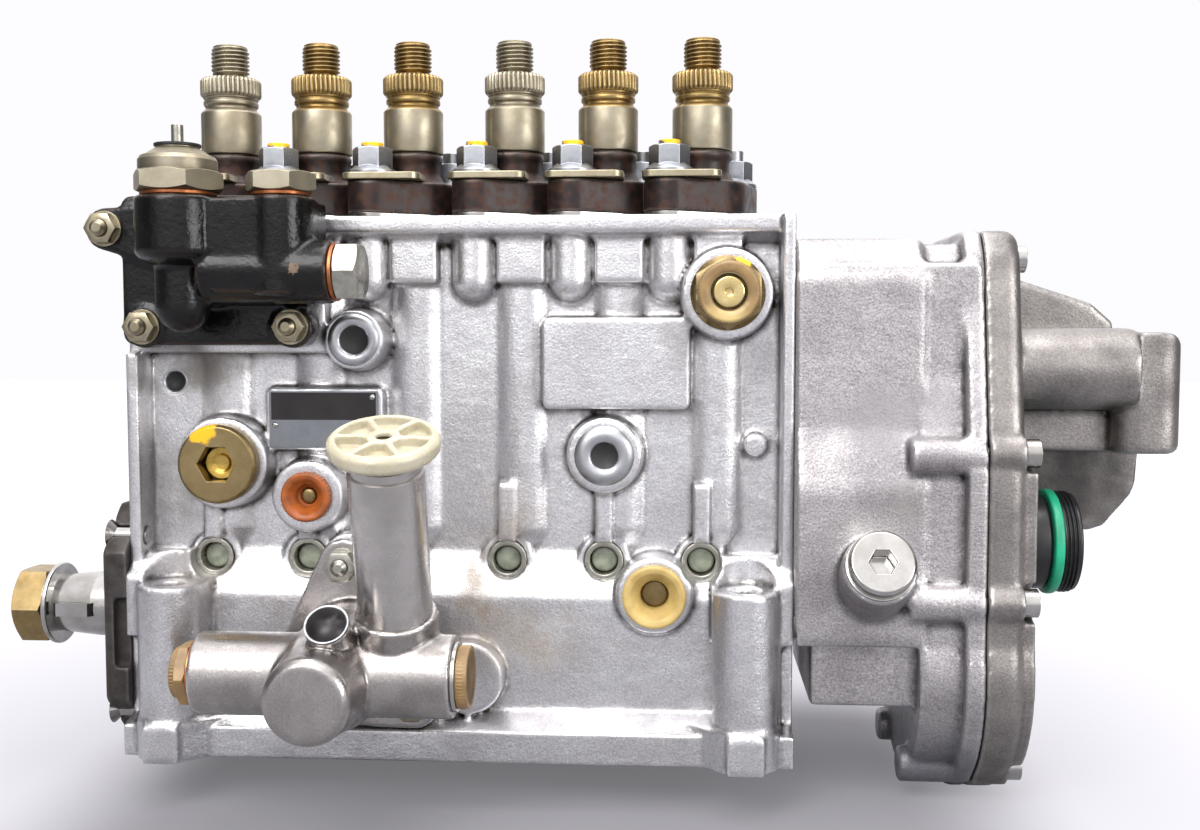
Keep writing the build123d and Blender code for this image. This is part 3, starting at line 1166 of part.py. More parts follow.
def make_feed_piston():
    """Feed piston with its push rod, parked clear of the eccentric."""
    with BuildPart() as piston:
        back, front = -FEED_PISTON_Y[1], -FEED_PISTON_Y[0] - 1
        turn(ahead(FEED_BOSS_X, 0, FEED_BOSS_Z), [
            (0, -FEED_ROD_TIP_Y), (FEED_ROD_R, -FEED_ROD_TIP_Y), (FEED_ROD_R, back), (FEED_PISTON_R, back),
            (FEED_PISTON_R, front), (FEED_PISTON_R - 3, front), (FEED_PISTON_R - 3, back + 4), (0, back + 4)])
    return piston


def make_stud_nuts():
    """Six equal studs and nuts of the feed pump and the shut-off block, each pair as separate solids."""
    seats = [(x, -FEED_PAD_Y - FEED_FLANGE_T, z) for x, z in FEED_STUDS]
    seats += [(x, BLOCK_BACK_Y - BLOCK_LUG_T, z) for x, z in BLOCK_STUDS]
    with BuildPart() as nut:
        add(chamfered_nut(up(0, 0, 0), CLAMP_NUT_AF, CLAMP_NUT_H, FRONT_STUD_R + RUN))
        ring(up(0, 0, 0), 6.2, FRONT_STUD_R + RUN, 1.2)
    with BuildPart() as stud:
        deep = FRONT_STUD_IN + FEED_FLANGE_T - 0.5
        turn(up(0, 0, 0), [(0, -deep), (FRONT_STUD_R - RUN, -deep), (FRONT_STUD_R - RUN, CLAMP_STUD_OUT - 1.2),
                           (1.6, CLAMP_STUD_OUT), (0, CLAMP_STUD_OUT)])
    with BuildPart() as pairs:
        for piece in (nut.part, stud.part):
            with Locations(*[Location(seat, (90, 0, 0)) for seat in seats]):
                add(piece)
    return pairs


def make_primer_barrel():
    """Barrel of the hand primer with its cap ring."""
    with BuildPart() as barrel:
        turn(PRIMER, [
            (0, 0), (PRIMER_R, 0), (PRIMER_R, PRIMER_L - 0.6), (PRIMER_R - 0.6, PRIMER_L), (PRIMER_CAP_R, PRIMER_L),
            (PRIMER_CAP_R, PRIMER_L + PRIMER_CAP_T), (PRIMER_ROD_R + RUN, PRIMER_L + PRIMER_CAP_T),
            (PRIMER_ROD_R + RUN, PRIMER_L - 1.5), (PRIMER_BORE_R, PRIMER_L - 1.5), (PRIMER_BORE_R, PRIMER_FLOOR),
            (0, PRIMER_FLOOR)])
    return barrel


ROD_TOP = PRIMER_L + PRIMER_CAP_T + KNOB_GAP + KNOB_T - 2.0


def make_primer_piston():
    """Piston and rod of the hand primer."""
    with BuildPart() as piston:
        low, high = PISTON_REST, PISTON_REST + PISTON_T
        turn(PRIMER, [(0, low), (PRIMER_BORE_R - 2 * RUN, low), (PRIMER_BORE_R - 2 * RUN, high), (PRIMER_ROD_R, high),
                      (PRIMER_ROD_R, ROD_TOP), (0, ROD_TOP)])
    return piston


def make_primer_knob():
    """Plastic disc knob with pie-shaped recesses round its hub."""
    place = PRIMER.offset(PRIMER_L + PRIMER_CAP_T + KNOB_GAP)
    with BuildPart() as knob:
        turn(place, [(0, 0), (KNOB_HUB_R + 4, 0), (KNOB_R - 1.5, 1.2), (KNOB_R, 2.8), (KNOB_R, KNOB_T - 1.5),
                     (KNOB_R - 1.5, KNOB_T), (0, KNOB_T)])
        with BuildSketch(place.offset(KNOB_T)) as recesses:
            Circle(KNOB_R - 3)
            Circle(KNOB_HUB_R, mode=Mode.SUBTRACT)
            with PolarLocations(KNOB_R / 2, KNOB_SPOKES):
                Rectangle(KNOB_R, 2.2, mode=Mode.SUBTRACT)
        extrude(recesses.sketch, amount=-3.4, mode=Mode.SUBTRACT)
        rod(place, PRIMER_ROD_R + RUN, ROD_TOP - PRIMER_L - PRIMER_CAP_T - KNOB_GAP + 0.2, Mode.SUBTRACT)
        rod(place.offset(KNOB_T - 2), 2.4, 3, Mode.SUBTRACT)
    return knob


# ------------------------------------------------------------------ shut-off block
BLOCK_LUG_T = 9.0
BLOCK_LUG_R = 7.4
TUBE_R = 9.2
TUBE_BOTTOM_Z = 160.0
TUBE_Y = -56.0
SOLENOID_SEAT_Z = 196.6
SOLENOID_SEAT_R = 14.6
SOLENOID_SEAT_H = 21.0
SOLENOID_HEX_T = 7.0
CAN_R = 13.0
CAN_NECK_R = 7.2
CAN_H = 7.6
TERMINAL_TOP_Z = 220.4
PIN_R = 4.0
PIN_Z = (170.0, 203.0)
TOP_PLUG_AF = 21.0
SIDE_PLUG_AF = 18.0
SIDE_TUBE_R = 10.6
SIDE_TUBE_X = -37.2
WASHER_COPPER_T = 1.4


def make_shutoff_block():
    """Cast valve block: back plate with lugs, solenoid tube, valve tube and side outlet."""
    front_y = BLOCK_BACK_Y - BLOCK_PLATE_T
    with BuildPart() as body:
        with BuildSketch(ahead(0, BLOCK_BACK_Y, 0)) as plate:
            with Locations(((BLOCK_X0 + BLOCK_X1) / 2, (BLOCK_Z0 + BLOCK_Z1) / 2)):
                RectangleRounded(BLOCK_X1 - BLOCK_X0, BLOCK_Z1 - BLOCK_Z0, 4)
        extrude(plate.sketch, amount=BLOCK_PLATE_T)
        rod([ahead(x, BLOCK_BACK_Y, z) for x, z in BLOCK_STUDS], BLOCK_LUG_R, BLOCK_LUG_T)
        rod(up(SOLENOID_X, TUBE_Y, TUBE_BOTTOM_Z), TUBE_R, SOLENOID_SEAT_Z - TUBE_BOTTOM_Z)
        with Locations((SOLENOID_X, TUBE_Y, TUBE_BOTTOM_Z)):
            Sphere(TUBE_R)
        block((SOLENOID_X - TUBE_R, TUBE_Y, TUBE_BOTTOM_Z), (SOLENOID_X + TUBE_R, front_y + 2, SOLENOID_SEAT_Z - 12))
        turn(up(SOLENOID_X, SOLENOID_Y, 0), [
            (0, SOLENOID_SEAT_Z - SOLENOID_SEAT_H - 2), (TUBE_R, SOLENOID_SEAT_Z - SOLENOID_SEAT_H - 2),
            (SOLENOID_SEAT_R - 1.5, SOLENOID_SEAT_Z - SOLENOID_SEAT_H),
            (SOLENOID_SEAT_R, SOLENOID_SEAT_Z - SOLENOID_SEAT_H + 2), (SOLENOID_SEAT_R, SOLENOID_SEAT_Z - 1),
            (SOLENOID_SEAT_R - 1, SOLENOID_SEAT_Z), (0, SOLENOID_SEAT_Z)])
        block((SOLENOID_X - SOLENOID_SEAT_R, SOLENOID_Y, SOLENOID_SEAT_Z - SOLENOID_SEAT_H + 1),
              (SOLENOID_X + SOLENOID_SEAT_R, front_y + 2, SOLENOID_SEAT_Z - 1))
        with BuildSketch(ahead(0, BLOCK_BACK_Y, 0)) as lug_web:
            with Locations(BLOCK_STUDS[0]):
                Circle(BLOCK_LUG_R)
            with Locations((SOLENOID_X - TUBE_R, BLOCK_STUDS[0][1] - 3)):
                Circle(BLOCK_LUG_R + 4)
            make_hull()
        extrude(lug_web.sketch, amount=BLOCK_LUG_T)
        block((PANEL_X, PANEL_Y, SIDE_PORT_Z - SIDE_TUBE_R + 4), (VALVE_TUBE_X, front_y + 2, SOLENOID_SEAT_Z - 1))
        rod(up(VALVE_TUBE_X, TUBE_Y, SIDE_PORT_Z - SIDE_TUBE_R + 3), VALVE_TUBE_R,
            SOLENOID_SEAT_Z - SIDE_PORT_Z + SIDE_TUBE_R - 3)
        block((SOLENOID_X, TUBE_Y, SIDE_PORT_Z - SIDE_TUBE_R), (VALVE_TUBE_X + VALVE_TUBE_R, front_y + 2,
              SOLENOID_SEAT_Z - 1))
        rod(along(SOLENOID_X + 8, TUBE_Y, SIDE_PORT_Z), SIDE_TUBE_R, SIDE_TUBE_X - SOLENOID_X - 8)
        rod(up(SOLENOID_X, SOLENOID_Y, PIN_Z[0] - 4), PIN_R + RUN, 40, Mode.SUBTRACT)
        rod(up(SOLENOID_X, SOLENOID_Y, SOLENOID_SEAT_Z - 9), 8.0, 10, Mode.SUBTRACT)
        rod(up(VALVE_TUBE_X, TUBE_Y, SIDE_PORT_Z), 7.0, 40, Mode.SUBTRACT)
        rod(along(VALVE_TUBE_X, TUBE_Y, SIDE_PORT_Z), 6.5, 40, Mode.SUBTRACT)
        rod(ahead(VALVE_TUBE_X, BLOCK_BACK_Y + 1, SIDE_PORT_Z), 5.0, 20, Mode.SUBTRACT)
        rod([ahead(x, BLOCK_BACK_Y + 1, z) for x, z in BLOCK_STUDS], FRONT_STUD_R + SLIP, 14, Mode.SUBTRACT)
    return body


def make_shutoff_solenoid():
    """Shut-off solenoid: hexagon, domed can, insulating disc and terminal stud."""
    seat = SOLENOID_SEAT_Z + WASHER_COPPER_T
    with BuildPart() as solenoid:
        place = up(SOLENOID_X, SOLENOID_Y, seat)
        add(chamfered_nut(place, SOLENOID_AF, SOLENOID_HEX_T, 0.0))
        rod(place.offset(-9), 8.0 - RUN, 10)
        can, dome = SOLENOID_HEX_T, SOLENOID_HEX_T + CAN_H
        terminal = TERMINAL_TOP_Z - seat
        turn(place, [(0, can - 1), (CAN_R, can - 1), (CAN_R, can + 3.4), (CAN_R - 0.8, can + 4.7),
                     (CAN_R - 2.4, can + 5.4), (CAN_NECK_R, dome), (CAN_NECK_R, dome + 0.4), (CAN_NECK_R + 0.5, dome + 0.6),
                     (CAN_NECK_R + 0.5, dome + 1.4), (2.0, dome + 1.8), (2.0, terminal), (0, terminal)])
        rod(place.offset(-10), PIN_R + RUN, PIN_Z[1] + 1 - seat + 10, Mode.SUBTRACT)
    return solenoid


def make_shutoff_plunger():
    """Sliding core of the shut-off solenoid."""
    with BuildPart() as core:
        turn(up(SOLENOID_X, SOLENOID_Y, 0), [(0, PIN_Z[0]), (1.2, PIN_Z[0]), (PIN_R, PIN_Z[0] + 4), (PIN_R, PIN_Z[1]),
                                             (0, PIN_Z[1])])
    return core


def make_shutoff_plugs():
    """Two hexagon plugs: one on top of the valve tube, one on the side outlet."""
    with BuildPart() as plugs:
        top = up(VALVE_TUBE_X, TUBE_Y, SOLENOID_SEAT_Z + WASHER_COPPER_T)
        add(chamfered_nut(top, TOP_PLUG_AF, 6.6, 0.0))
        rod(top.offset(-9), 7.0 - RUN, 10)
        side = along(SIDE_TUBE_X + WASHER_COPPER_T, TUBE_Y, SIDE_PORT_Z)
        add(chamfered_nut(side, SIDE_PLUG_AF, 8.4, 0.0))
        rod(side.offset(-9), 6.5 - RUN, 10)
    return plugs


def make_copper_washers():
    """Copper sealing washers of the solenoid, the plugs and the feed pump's inlet."""
    with BuildPart() as washers:
        ring(up(SOLENOID_X, SOLENOID_Y, SOLENOID_SEAT_Z), 12.6, 8.0, WASHER_COPPER_T)
        ring(up(VALVE_TUBE_X, TUBE_Y, SOLENOID_SEAT_Z), 9.8, 7.0, WASHER_COPPER_T)
        ring(along(SIDE_TUBE_X, TUBE_Y, SIDE_PORT_Z), 9.9, 6.5, WASHER_COPPER_T)
        ring(along(FEED_X0 - 1.2, FEED_Y, FEED_Z), 11.4, FEED_PORT_R - 1 + RUN, 1.2)
        ring(along(FEED_X1, FEED_Y, FEED_Z), 11.4, FEED_PORT_R - 1 + RUN, FEED_CAP_SEAT)
        ring(GOV_PLUG.offset(0), GOV_PLUG_R + 0.6, 7.0, WASHER_COPPER_T)
    return washers


# ------------------------------------------------------------------ governor end
GOV_PLUG_Z = 73.0
GOV_BOSS_R = 12.6
GOV_BOSS_L = 24.0
GOV_FACE_Y = -56.5
GOV_PLUG = leaning((GOV_PLUG_X, GOV_FACE_Y, GOV_PLUG_Z), 90 - GOV_PLUG_TILT)
GOV_LEFT_X = X1
GOV_COVER_SCREWS = ((-17, 177), (17, 177), (-41.5, 110), (41.5, 110), (-43, 59), (43, 59), (-24, -4), (24, -4))
CAP_SCREW_HEAD_R = 4.9
CAP_SCREW_HEAD_H = 5.0
CAP_SCREW_R = 2.9
RIM_BOTTOM_Z = -17.0
GOV_SIDE_Z = 34.0              # the body's sides run straight down to here
GOV_STEP_Z = (97.0, 118.0)     # and widen between these heights
RIM_HALF_W = 47.0
RIM_TOP_HALF_W = 27.0


def governor_section(grow=0.0):
    """Section of the governor's body across the camshaft, grown or shrunk by a margin."""
    with BuildSketch() as section:
        with BuildLine():
            l1 = Polyline((-GOV_R, GOV_SIDE_Z), (-GOV_R, GOV_STEP_Z[0]), (-GOV_UPPER_HALF_W, GOV_STEP_Z[1]),
                          (-GOV_UPPER_HALF_W, 170), (-GOV_UPPER_HALF_W + 12, GOV_TOP_Z),
                          (GOV_UPPER_HALF_W - 12, GOV_TOP_Z), (GOV_UPPER_HALF_W, 170),
                          (GOV_UPPER_HALF_W, GOV_STEP_Z[1]), (GOV_R, GOV_STEP_Z[0]), (GOV_R, GOV_SIDE_Z))
            RadiusArc(l1 @ 0, l1 @ 1, GOV_R)
        make_face()
        fillet([v for v in section.vertices() if v.Y > GOV_STEP_Z[1] + 1], radius=5)
        fillet([v for v in section.vertices() if GOV_STEP_Z[0] - 1 < v.Y < GOV_STEP_Z[1] + 1], radius=18)
        if grow:
            offset(amount=grow)
    return section.sketch


def rim_section(grow=0.0):
    """Egg-shaped outline of the governor's rim and cover."""
    with BuildSketch() as section:
        with BuildLine():
            l1 = Polyline((-RIM_HALF_W, 44), (-RIM_HALF_W, 104), (-RIM_HALF_W + 4, 124), (-RIM_TOP_HALF_W - 6, 178),
                          (-RIM_TOP_HALF_W, GOV_TOP_Z + 2.5), (RIM_TOP_HALF_W, GOV_TOP_Z + 2.5),
                          (RIM_TOP_HALF_W + 6, 178), (RIM_HALF_W - 4, 124), (RIM_HALF_W, 104), (RIM_HALF_W, 44))
            ThreePointArc(l1 @ 1, (0, RIM_BOTTOM_Z), l1 @ 0)
        make_face()
        fillet([v for v in section.vertices() if v.Y > 60], radius=6)
        if grow:
            offset(amount=grow)
    return section.sketch


def across(x, sketch):
    """Put a sketch of Y and Z coordinates on a plane across the camshaft."""
    return along(x) * sketch


def make_governor_housing():
    """Open casting between the pump and the cover, with the filler boss and screw lugs."""
    with BuildPart() as housing:
        extrude(across(GOV_LEFT_X, governor_section()), amount=GOV_BODY_X - GOV_LEFT_X + 1)
        extrude(across(GOV_BODY_X, rim_section(-4.5)), amount=GOV_JOINT_X - GOV_BODY_X)
        extrude(across(GOV_JOINT_X - GOV_RIM, rim_section()), amount=GOV_RIM)
        rod([along(GOV_JOINT_X - 26, y * 0.985, z * 0.99) for y, z in GOV_COVER_SCREWS], 6.4, 26)
        rod(GOV_PLUG.offset(-GOV_BOSS_L), GOV_BOSS_R, GOV_BOSS_L)
        extrude(across(GOV_LEFT_X + GOV_WALL, governor_section(-GOV_WALL)), amount=GOV_BODY_X - GOV_LEFT_X,
                mode=Mode.SUBTRACT)
        extrude(across(GOV_BODY_X + 1, rim_section(-8)), amount=GOV_JOINT_X - GOV_BODY_X,
                mode=Mode.SUBTRACT)
        rod(along(GOV_LEFT_X - 1, 0, CAM_Z), BEARING_R - 3, GOV_WALL + 2, Mode.SUBTRACT)
        rod(along(GOV_LEFT_X - 1, RACK_ROD_Y, RACK_ROD_Z), RACK_ROD_R + FREE, GOV_WALL + 2, Mode.SUBTRACT)
        rod(GOV_PLUG.offset(-GOV_BOSS_L - 2), 7.0, GOV_BOSS_L + 3, Mode.SUBTRACT)
        rod([along(GOV_JOINT_X - 12, y, z) for y, z in GOV_COVER_SCREWS], CAP_SCREW_R + SLIP, 13, Mode.SUBTRACT)
    return housing


def make_governor_cover():
    """Cover casting with the actuator's round housing, its box, two gussets and the connector's seat."""
    with BuildPart() as cover:
        extrude(across(GOV_JOINT_X, rim_section()), amount=GOV_COVER_X - GOV_JOINT_X)
        fillet(cover.edges().group_by(Axis.X)[-1], radius=5.5)
        with BuildSketch(along(GOV_COVER_X - 4)) as low_part:
            add(rim_section(-3))
            with Locations((0, 200)):
                Rectangle(120, 2 * (200 - 112), mode=Mode.SUBTRACT)
        extrude(low_part.sketch, amount=GOV_COVER_LOW_X - GOV_COVER_X + 4)
        rod(along(GOV_COVER_X - 4, -15, 138), 14.6, 46.5)
        with BuildSketch(up(0, 0, 108)) as box_low:
            with Locations(((GOV_COVER_X + 256.5) / 2, 12)):
                RectangleRounded(256.5 - GOV_COVER_X, 46, 10)
        extrude(box_low.sketch, amount=43)
        block((GOV_COVER_X - 3, -11, 108), (240, 35, 151))
        with BuildSketch(up(0, 0, 108)) as end_box:
            with Locations((244.8, 6.5)):
                RectangleRounded(23.4, 57, 8)
        extrude(end_box.sketch, amount=43)
        with BuildSketch(ahead(0, 35, 0)) as upper_gusset:
            with BuildLine():
                Polyline((GOV_COVER_X - 2, 150), (GOV_COVER_X - 2, 177), (206, 171), (233, 162), (241, 155),
                         (241, 145), close=True)
            make_face()
        extrude(upper_gusset.sketch, amount=25)
        with BuildSketch(ahead(0, 35, 0)) as lower_gusset:
            with BuildLine():
                Polyline((GOV_COVER_X + 2, 110), (GOV_COVER_X + 2, 84), (233, 76), (239, 78), (249, 90), (256, 110),
                         close=True)
            make_face()
        extrude(lower_gusset.sketch, amount=26)
        rod(along(GOV_COVER_X - 1, CONNECTOR_Y, CONNECTOR_Z), CONNECTOR_R + 2, 4 + GOV_COVER_LOW_X - GOV_COVER_X - 2)
        rod([along(GOV_JOINT_X, y, z) for y, z in GOV_COVER_SCREWS], 6.6, GOV_COVER_X - GOV_JOINT_X - 0.6)
        rod([along(GOV_JOINT_X - 1, y, z) for y, z in GOV_COVER_SCREWS], CAP_SCREW_R + SLIP, 30, Mode.SUBTRACT)
        rod([along(GOV_COVER_X - 0.6, y, z) for y, z in GOV_COVER_SCREWS], CAP_SCREW_HEAD_R + 1.6, 10, Mode.SUBTRACT)
        rod(along(GOV_JOINT_X - 1, CONNECTOR_Y, CONNECTOR_Z), 12.0, 30, Mode.SUBTRACT)
    return cover


def make_cover_screws():
    """Eight socket head screws of the governor cover."""
    with BuildPart() as screw:
        turn(up(0, 0, 0), [(0, CAP_SCREW_HEAD_H), (CAP_SCREW_HEAD_R, CAP_SCREW_HEAD_H), (CAP_SCREW_HEAD_R, 0),
                           (CAP_SCREW_R, 0), (CAP_SCREW_R, -23), (0, -23)])
        hexagon(up(0, 0, 2), 5, 4, Mode.SUBTRACT)
    with BuildPart() as screws:
        with Locations(*[Location((GOV_COVER_X - 0.6, y, z), (0, 90, 0)) for y, z in GOV_COVER_SCREWS]):
            add(screw.part)
    return screws


def make_connector():
    """Round threaded plug socket of the actuator's wiring."""
    with BuildPart() as connector:
        seat = GOV_COVER_LOW_X + 1
        turn(along(0, CONNECTOR_Y, CONNECTOR_Z), [
            (0, GOV_JOINT_X + 2), (11.9, GOV_JOINT_X + 2), (11.9, seat), (17.0, seat), (17.0, 208.5), (16.0, 209.4),
            (16.0, 213.0), (CONNECTOR_R, 213.8), (CONNECTOR_R, CONNECTOR_X - 1), (CONNECTOR_R - 1, CONNECTOR_X),
            (15.2, CONNECTOR_X), (15.2, 211.0), (0, 211.0)])
    return connector


def make_connector_oring():
    """Sealing ring of the connector."""
    with BuildPart() as oring:
        ring(along(209.6, CONNECTOR_Y, CONNECTOR_Z), ORING_R, 16.0 + RUN, 3.3)
        fillet(oring.edges().filter_by(GeomType.CIRCLE).group_by(SortBy.RADIUS)[-1], radius=1.2)
    return oring


def make_governor_plug():
    """Socket plug of the oil filler boss."""
    with BuildPart() as plug:
        add(socket_plug(GOV_PLUG.offset(WASHER_COPPER_T), GOV_PLUG_R, 5.0, 7.0 - RUN, 10.0, 8.0))
    return plug


# ------------------------------------------------------------------ build and write
PIECES = {
    "pump_housing": make_housing,
    "bottom_cover": make_bottom_cover,
    "housing_screws": make_housing_screws,
    "camshaft": make_camshaft,
    "speed_wheel": make_speed_wheel,
    "drive_key": make_drive_key,
    "drive_washer": make_drive_washer,
    "drive_nut": make_drive_nut,
    "drive_flange": make_drive_flange,
    "bearing_cups": make_bearing_cups,
    "bearing_cones": make_bearing_cones,
    "shaft_seal": make_shaft_seal,
    "barrels": make_barrels,
    "roller_tappets": make_roller_tappets,
    "plunger_springs": make_plunger_springs,
    "delivery_valves": make_delivery_valves,
    "barrel_flanges": make_barrel_flanges,
    "flange_shims": make_flange_shims,
    "flange_saddles": make_flange_saddles,
    "flange_nuts": make_flange_nuts,
    "flange_studs": make_flange_studs,
    "control_rack": make_control_rack,
    "rack_armature": make_rack_armature,
    "actuator_coil": make_actuator_coil,
    "guide_bushes": make_guide_bushes,
    "guide_pins": make_guide_pins,
    "gallery_plug": make_gallery_plug,
    "orange_port_cap": lambda: plastic_cap("orange", 9.1, 2.2),
    "drain_port_cap": lambda: plastic_cap("drain", 11.4, 4.8),
    "overflow_valve": make_overflow_valve,
    "feed_pump_body": make_feed_pump_body,
    "feed_pump_plugs": make_feed_pump_plugs,
    "feed_piston": make_feed_piston,
    "stud_nuts": make_stud_nuts,
    "primer_barrel": make_primer_barrel,
    "primer_piston": make_primer_piston,
    "primer_knob": make_primer_knob,
    "shutoff_block": make_shutoff_block,
    "shutoff_solenoid": make_shutoff_solenoid,
    "shutoff_plunger": make_shutoff_plunger,
    "shutoff_plugs": make_shutoff_plugs,
    "copper_washers": make_copper_washers,
    "governor_housing": make_governor_housing,
    "governor_cover": make_governor_cover,
    "cover_screws": make_cover_screws,
    "connector": make_connector,
    "connector_oring": make_connector_oring,
    "governor_plug": make_governor_plug,
}

for piece_name, make_piece in PIECES.items():
    keep(make_piece(), piece_name)
for number, element in enumerate(ELEMENT_X, start=1):
    keep(make_plunger_sleeve(element), f"plunger_sleeve_{number}")
    keep(make_delivery_holder(element), f"delivery_holder_{number}")
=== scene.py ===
"""Diesel injection pump: sandy castings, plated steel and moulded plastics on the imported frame.

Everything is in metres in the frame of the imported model: +X runs along the camshaft to the governor, -Y is
the side with the feed pump, +Z is up. Sizes in the classes are millimetres and are turned to metres where a
mesh is made.
"""
from __future__ import annotations

import logging
import math
from contextlib import contextmanager
from dataclasses import dataclass, field
from enum import Enum
from typing import Callable, Iterator, Sequence

import bmesh
import bpy
import numpy as np
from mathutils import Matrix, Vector


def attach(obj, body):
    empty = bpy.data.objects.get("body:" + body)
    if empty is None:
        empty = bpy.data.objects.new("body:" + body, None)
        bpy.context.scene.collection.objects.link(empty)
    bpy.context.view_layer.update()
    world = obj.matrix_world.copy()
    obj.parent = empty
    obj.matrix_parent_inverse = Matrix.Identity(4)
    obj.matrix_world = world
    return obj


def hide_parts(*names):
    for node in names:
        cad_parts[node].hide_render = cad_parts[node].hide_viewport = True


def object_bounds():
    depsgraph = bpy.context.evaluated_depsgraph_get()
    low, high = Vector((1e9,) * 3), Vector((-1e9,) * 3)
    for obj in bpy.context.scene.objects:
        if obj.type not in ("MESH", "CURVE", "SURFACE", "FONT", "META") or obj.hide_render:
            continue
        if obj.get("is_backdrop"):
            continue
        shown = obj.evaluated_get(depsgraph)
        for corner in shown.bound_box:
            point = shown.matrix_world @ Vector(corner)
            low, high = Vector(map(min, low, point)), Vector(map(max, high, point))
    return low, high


LOG = logging.getLogger("injection_pump")
MM = 0.001
ELEMENT_XS = (-91.5, -56.5, -21.5, 17.0, 52.0, 87.0)

Vec = tuple[float, float, float]
Pair = tuple[float, float]
Profile = Sequence[Pair]
Piece = bpy.types.Object
Material = bpy.types.Material
Tree = bpy.types.NodeTree
Socket = bpy.types.NodeSocket

# Blender's noise keeps mostly to this range of its 0 to 1.
NOISE_LOW, NOISE_HIGH = 0.38, 0.62
TONE_BLEND = 0.22  # half the range of noise over which one tone turns into the other
SAND_MM, SAND_RANGE = 0.7, (0.36, 0.62)
BLOTCH_MM = 3.0  # size of the noise that breaks up the grime and painted shade in hollows and the wear on edges
# Pointiness (0.5 is flat) at which the grime and painted shade in hollows, and the wear on edges, begin and
# at which they are full.
HOLLOW, RUBBED = (0.494, 0.455), (0.515, 0.575)
LIGHT_DEPTH = (0.004, 0.003, 0.002)  # how far red, green and blue light spread in a plastic, in metres
COAT_ROUGHNESS = 0.12
OUTLINE_NOISE = 0.55  # size of the noise that breaks a dab's outline, as a share of the dab's radius
DAB_METALLIC = 0.1  # share of the finish's metallic look that is left under a dab
UNEVEN = 9.0  # size of the broad unevenness, in sizes of the grain
LOOSE_POINTS, TURNED_POINTS = 2e-6, 1e-6  # points closer than this are merged, in metres
CORNER_SHARE = 0.45  # most of a profile's side that one rounded corner takes
YELLOW_PAINT = "#E9B414"
OIL_BROWN = "#7E6A4C"


class Body(Enum):
    """The bodies of the frame that pieces ride on."""

    PUMP = "pump"
    CAMSHAFT = "camshaft"
    KNOB = "primer_knob"


# ------------------------------------------------------------------ colours and shader nodes
def linear(hex_colour: str) -> tuple[float, float, float, float]:
    """Turn an sRGB hex colour to linear values.

    Args:
        hex_colour: The colour as "#RRGGBB".

    Returns:
        Linear red, green, blue and an alpha of 1.
    """
    values = [int(hex_colour[i:i + 2], 16) / 255 for i in (1, 3, 5)]
    red, green, blue = (v / 12.92 if v <= 0.04045 else ((v + 0.055) / 1.055) ** 2.4 for v in values)
    return red, green, blue, 1.0


def blank_tree(owner: Material | bpy.types.World) -> Tree:
    """The cleared node tree of a material or a world."""
    owner.use_nodes = True
    owner.node_tree.nodes.clear()
    return owner.node_tree


def add_node(tree: Tree, kind: str, settings: dict | None = None,
             links: dict | None = None) -> bpy.types.Node:
    """Add a shader node with its settings and links.

    Args:
        tree: The node tree.
        kind: The node's type name without "ShaderNode".
        settings: Properties by name, or socket values by the socket's name or number.
        links: Output sockets by the name or number of the input that they feed.

    Returns:
        The new node.
    """
    made = tree.nodes.new(f"ShaderNode{kind}")
    for name, value in (settings or {}).items():
        if isinstance(name, int) or name in made.inputs:
            made.inputs[name].default_value = value
        else:
            setattr(made, name, value)
    for name, output in (links or {}).items():
        tree.links.new(output, made.inputs[name])
    return made


@dataclass(frozen=True)
class Dab:
    """A dab of paint, a stain, or a patch of painted shade or painted light about a place, in millimetres.

    Attributes:
        centre: The middle of the dab.
        radius: How far it reaches where its stretch is 1.
        colour: Its tone, sRGB hex.
        rough: Its roughness.
        ragged: How far noise moves its outline, as a share of the radius.
        soft: Width of its fading edge, as a share of the radius.
        stretch: Its reach along X, Y and Z, as shares of the radius.
        strength: How much of it covers the finish, 0 to 1.
    """

    centre: Vec
    radius: float
    colour: str
    rough: float = 0.5
    ragged: float = 0.35
    soft: float = 0.12
    stretch: Vec = (1.0, 1.0, 1.0)
    strength: float = 1.0


def stain(centre: Vec, radius: float, colour: str, stretch: Vec, strength: float) -> Dab:
    """A half-gloss stain of oil or dirt with a soft and ragged outline."""
    return Dab(centre, radius, colour, 0.42, 0.9, 0.9, stretch, strength)


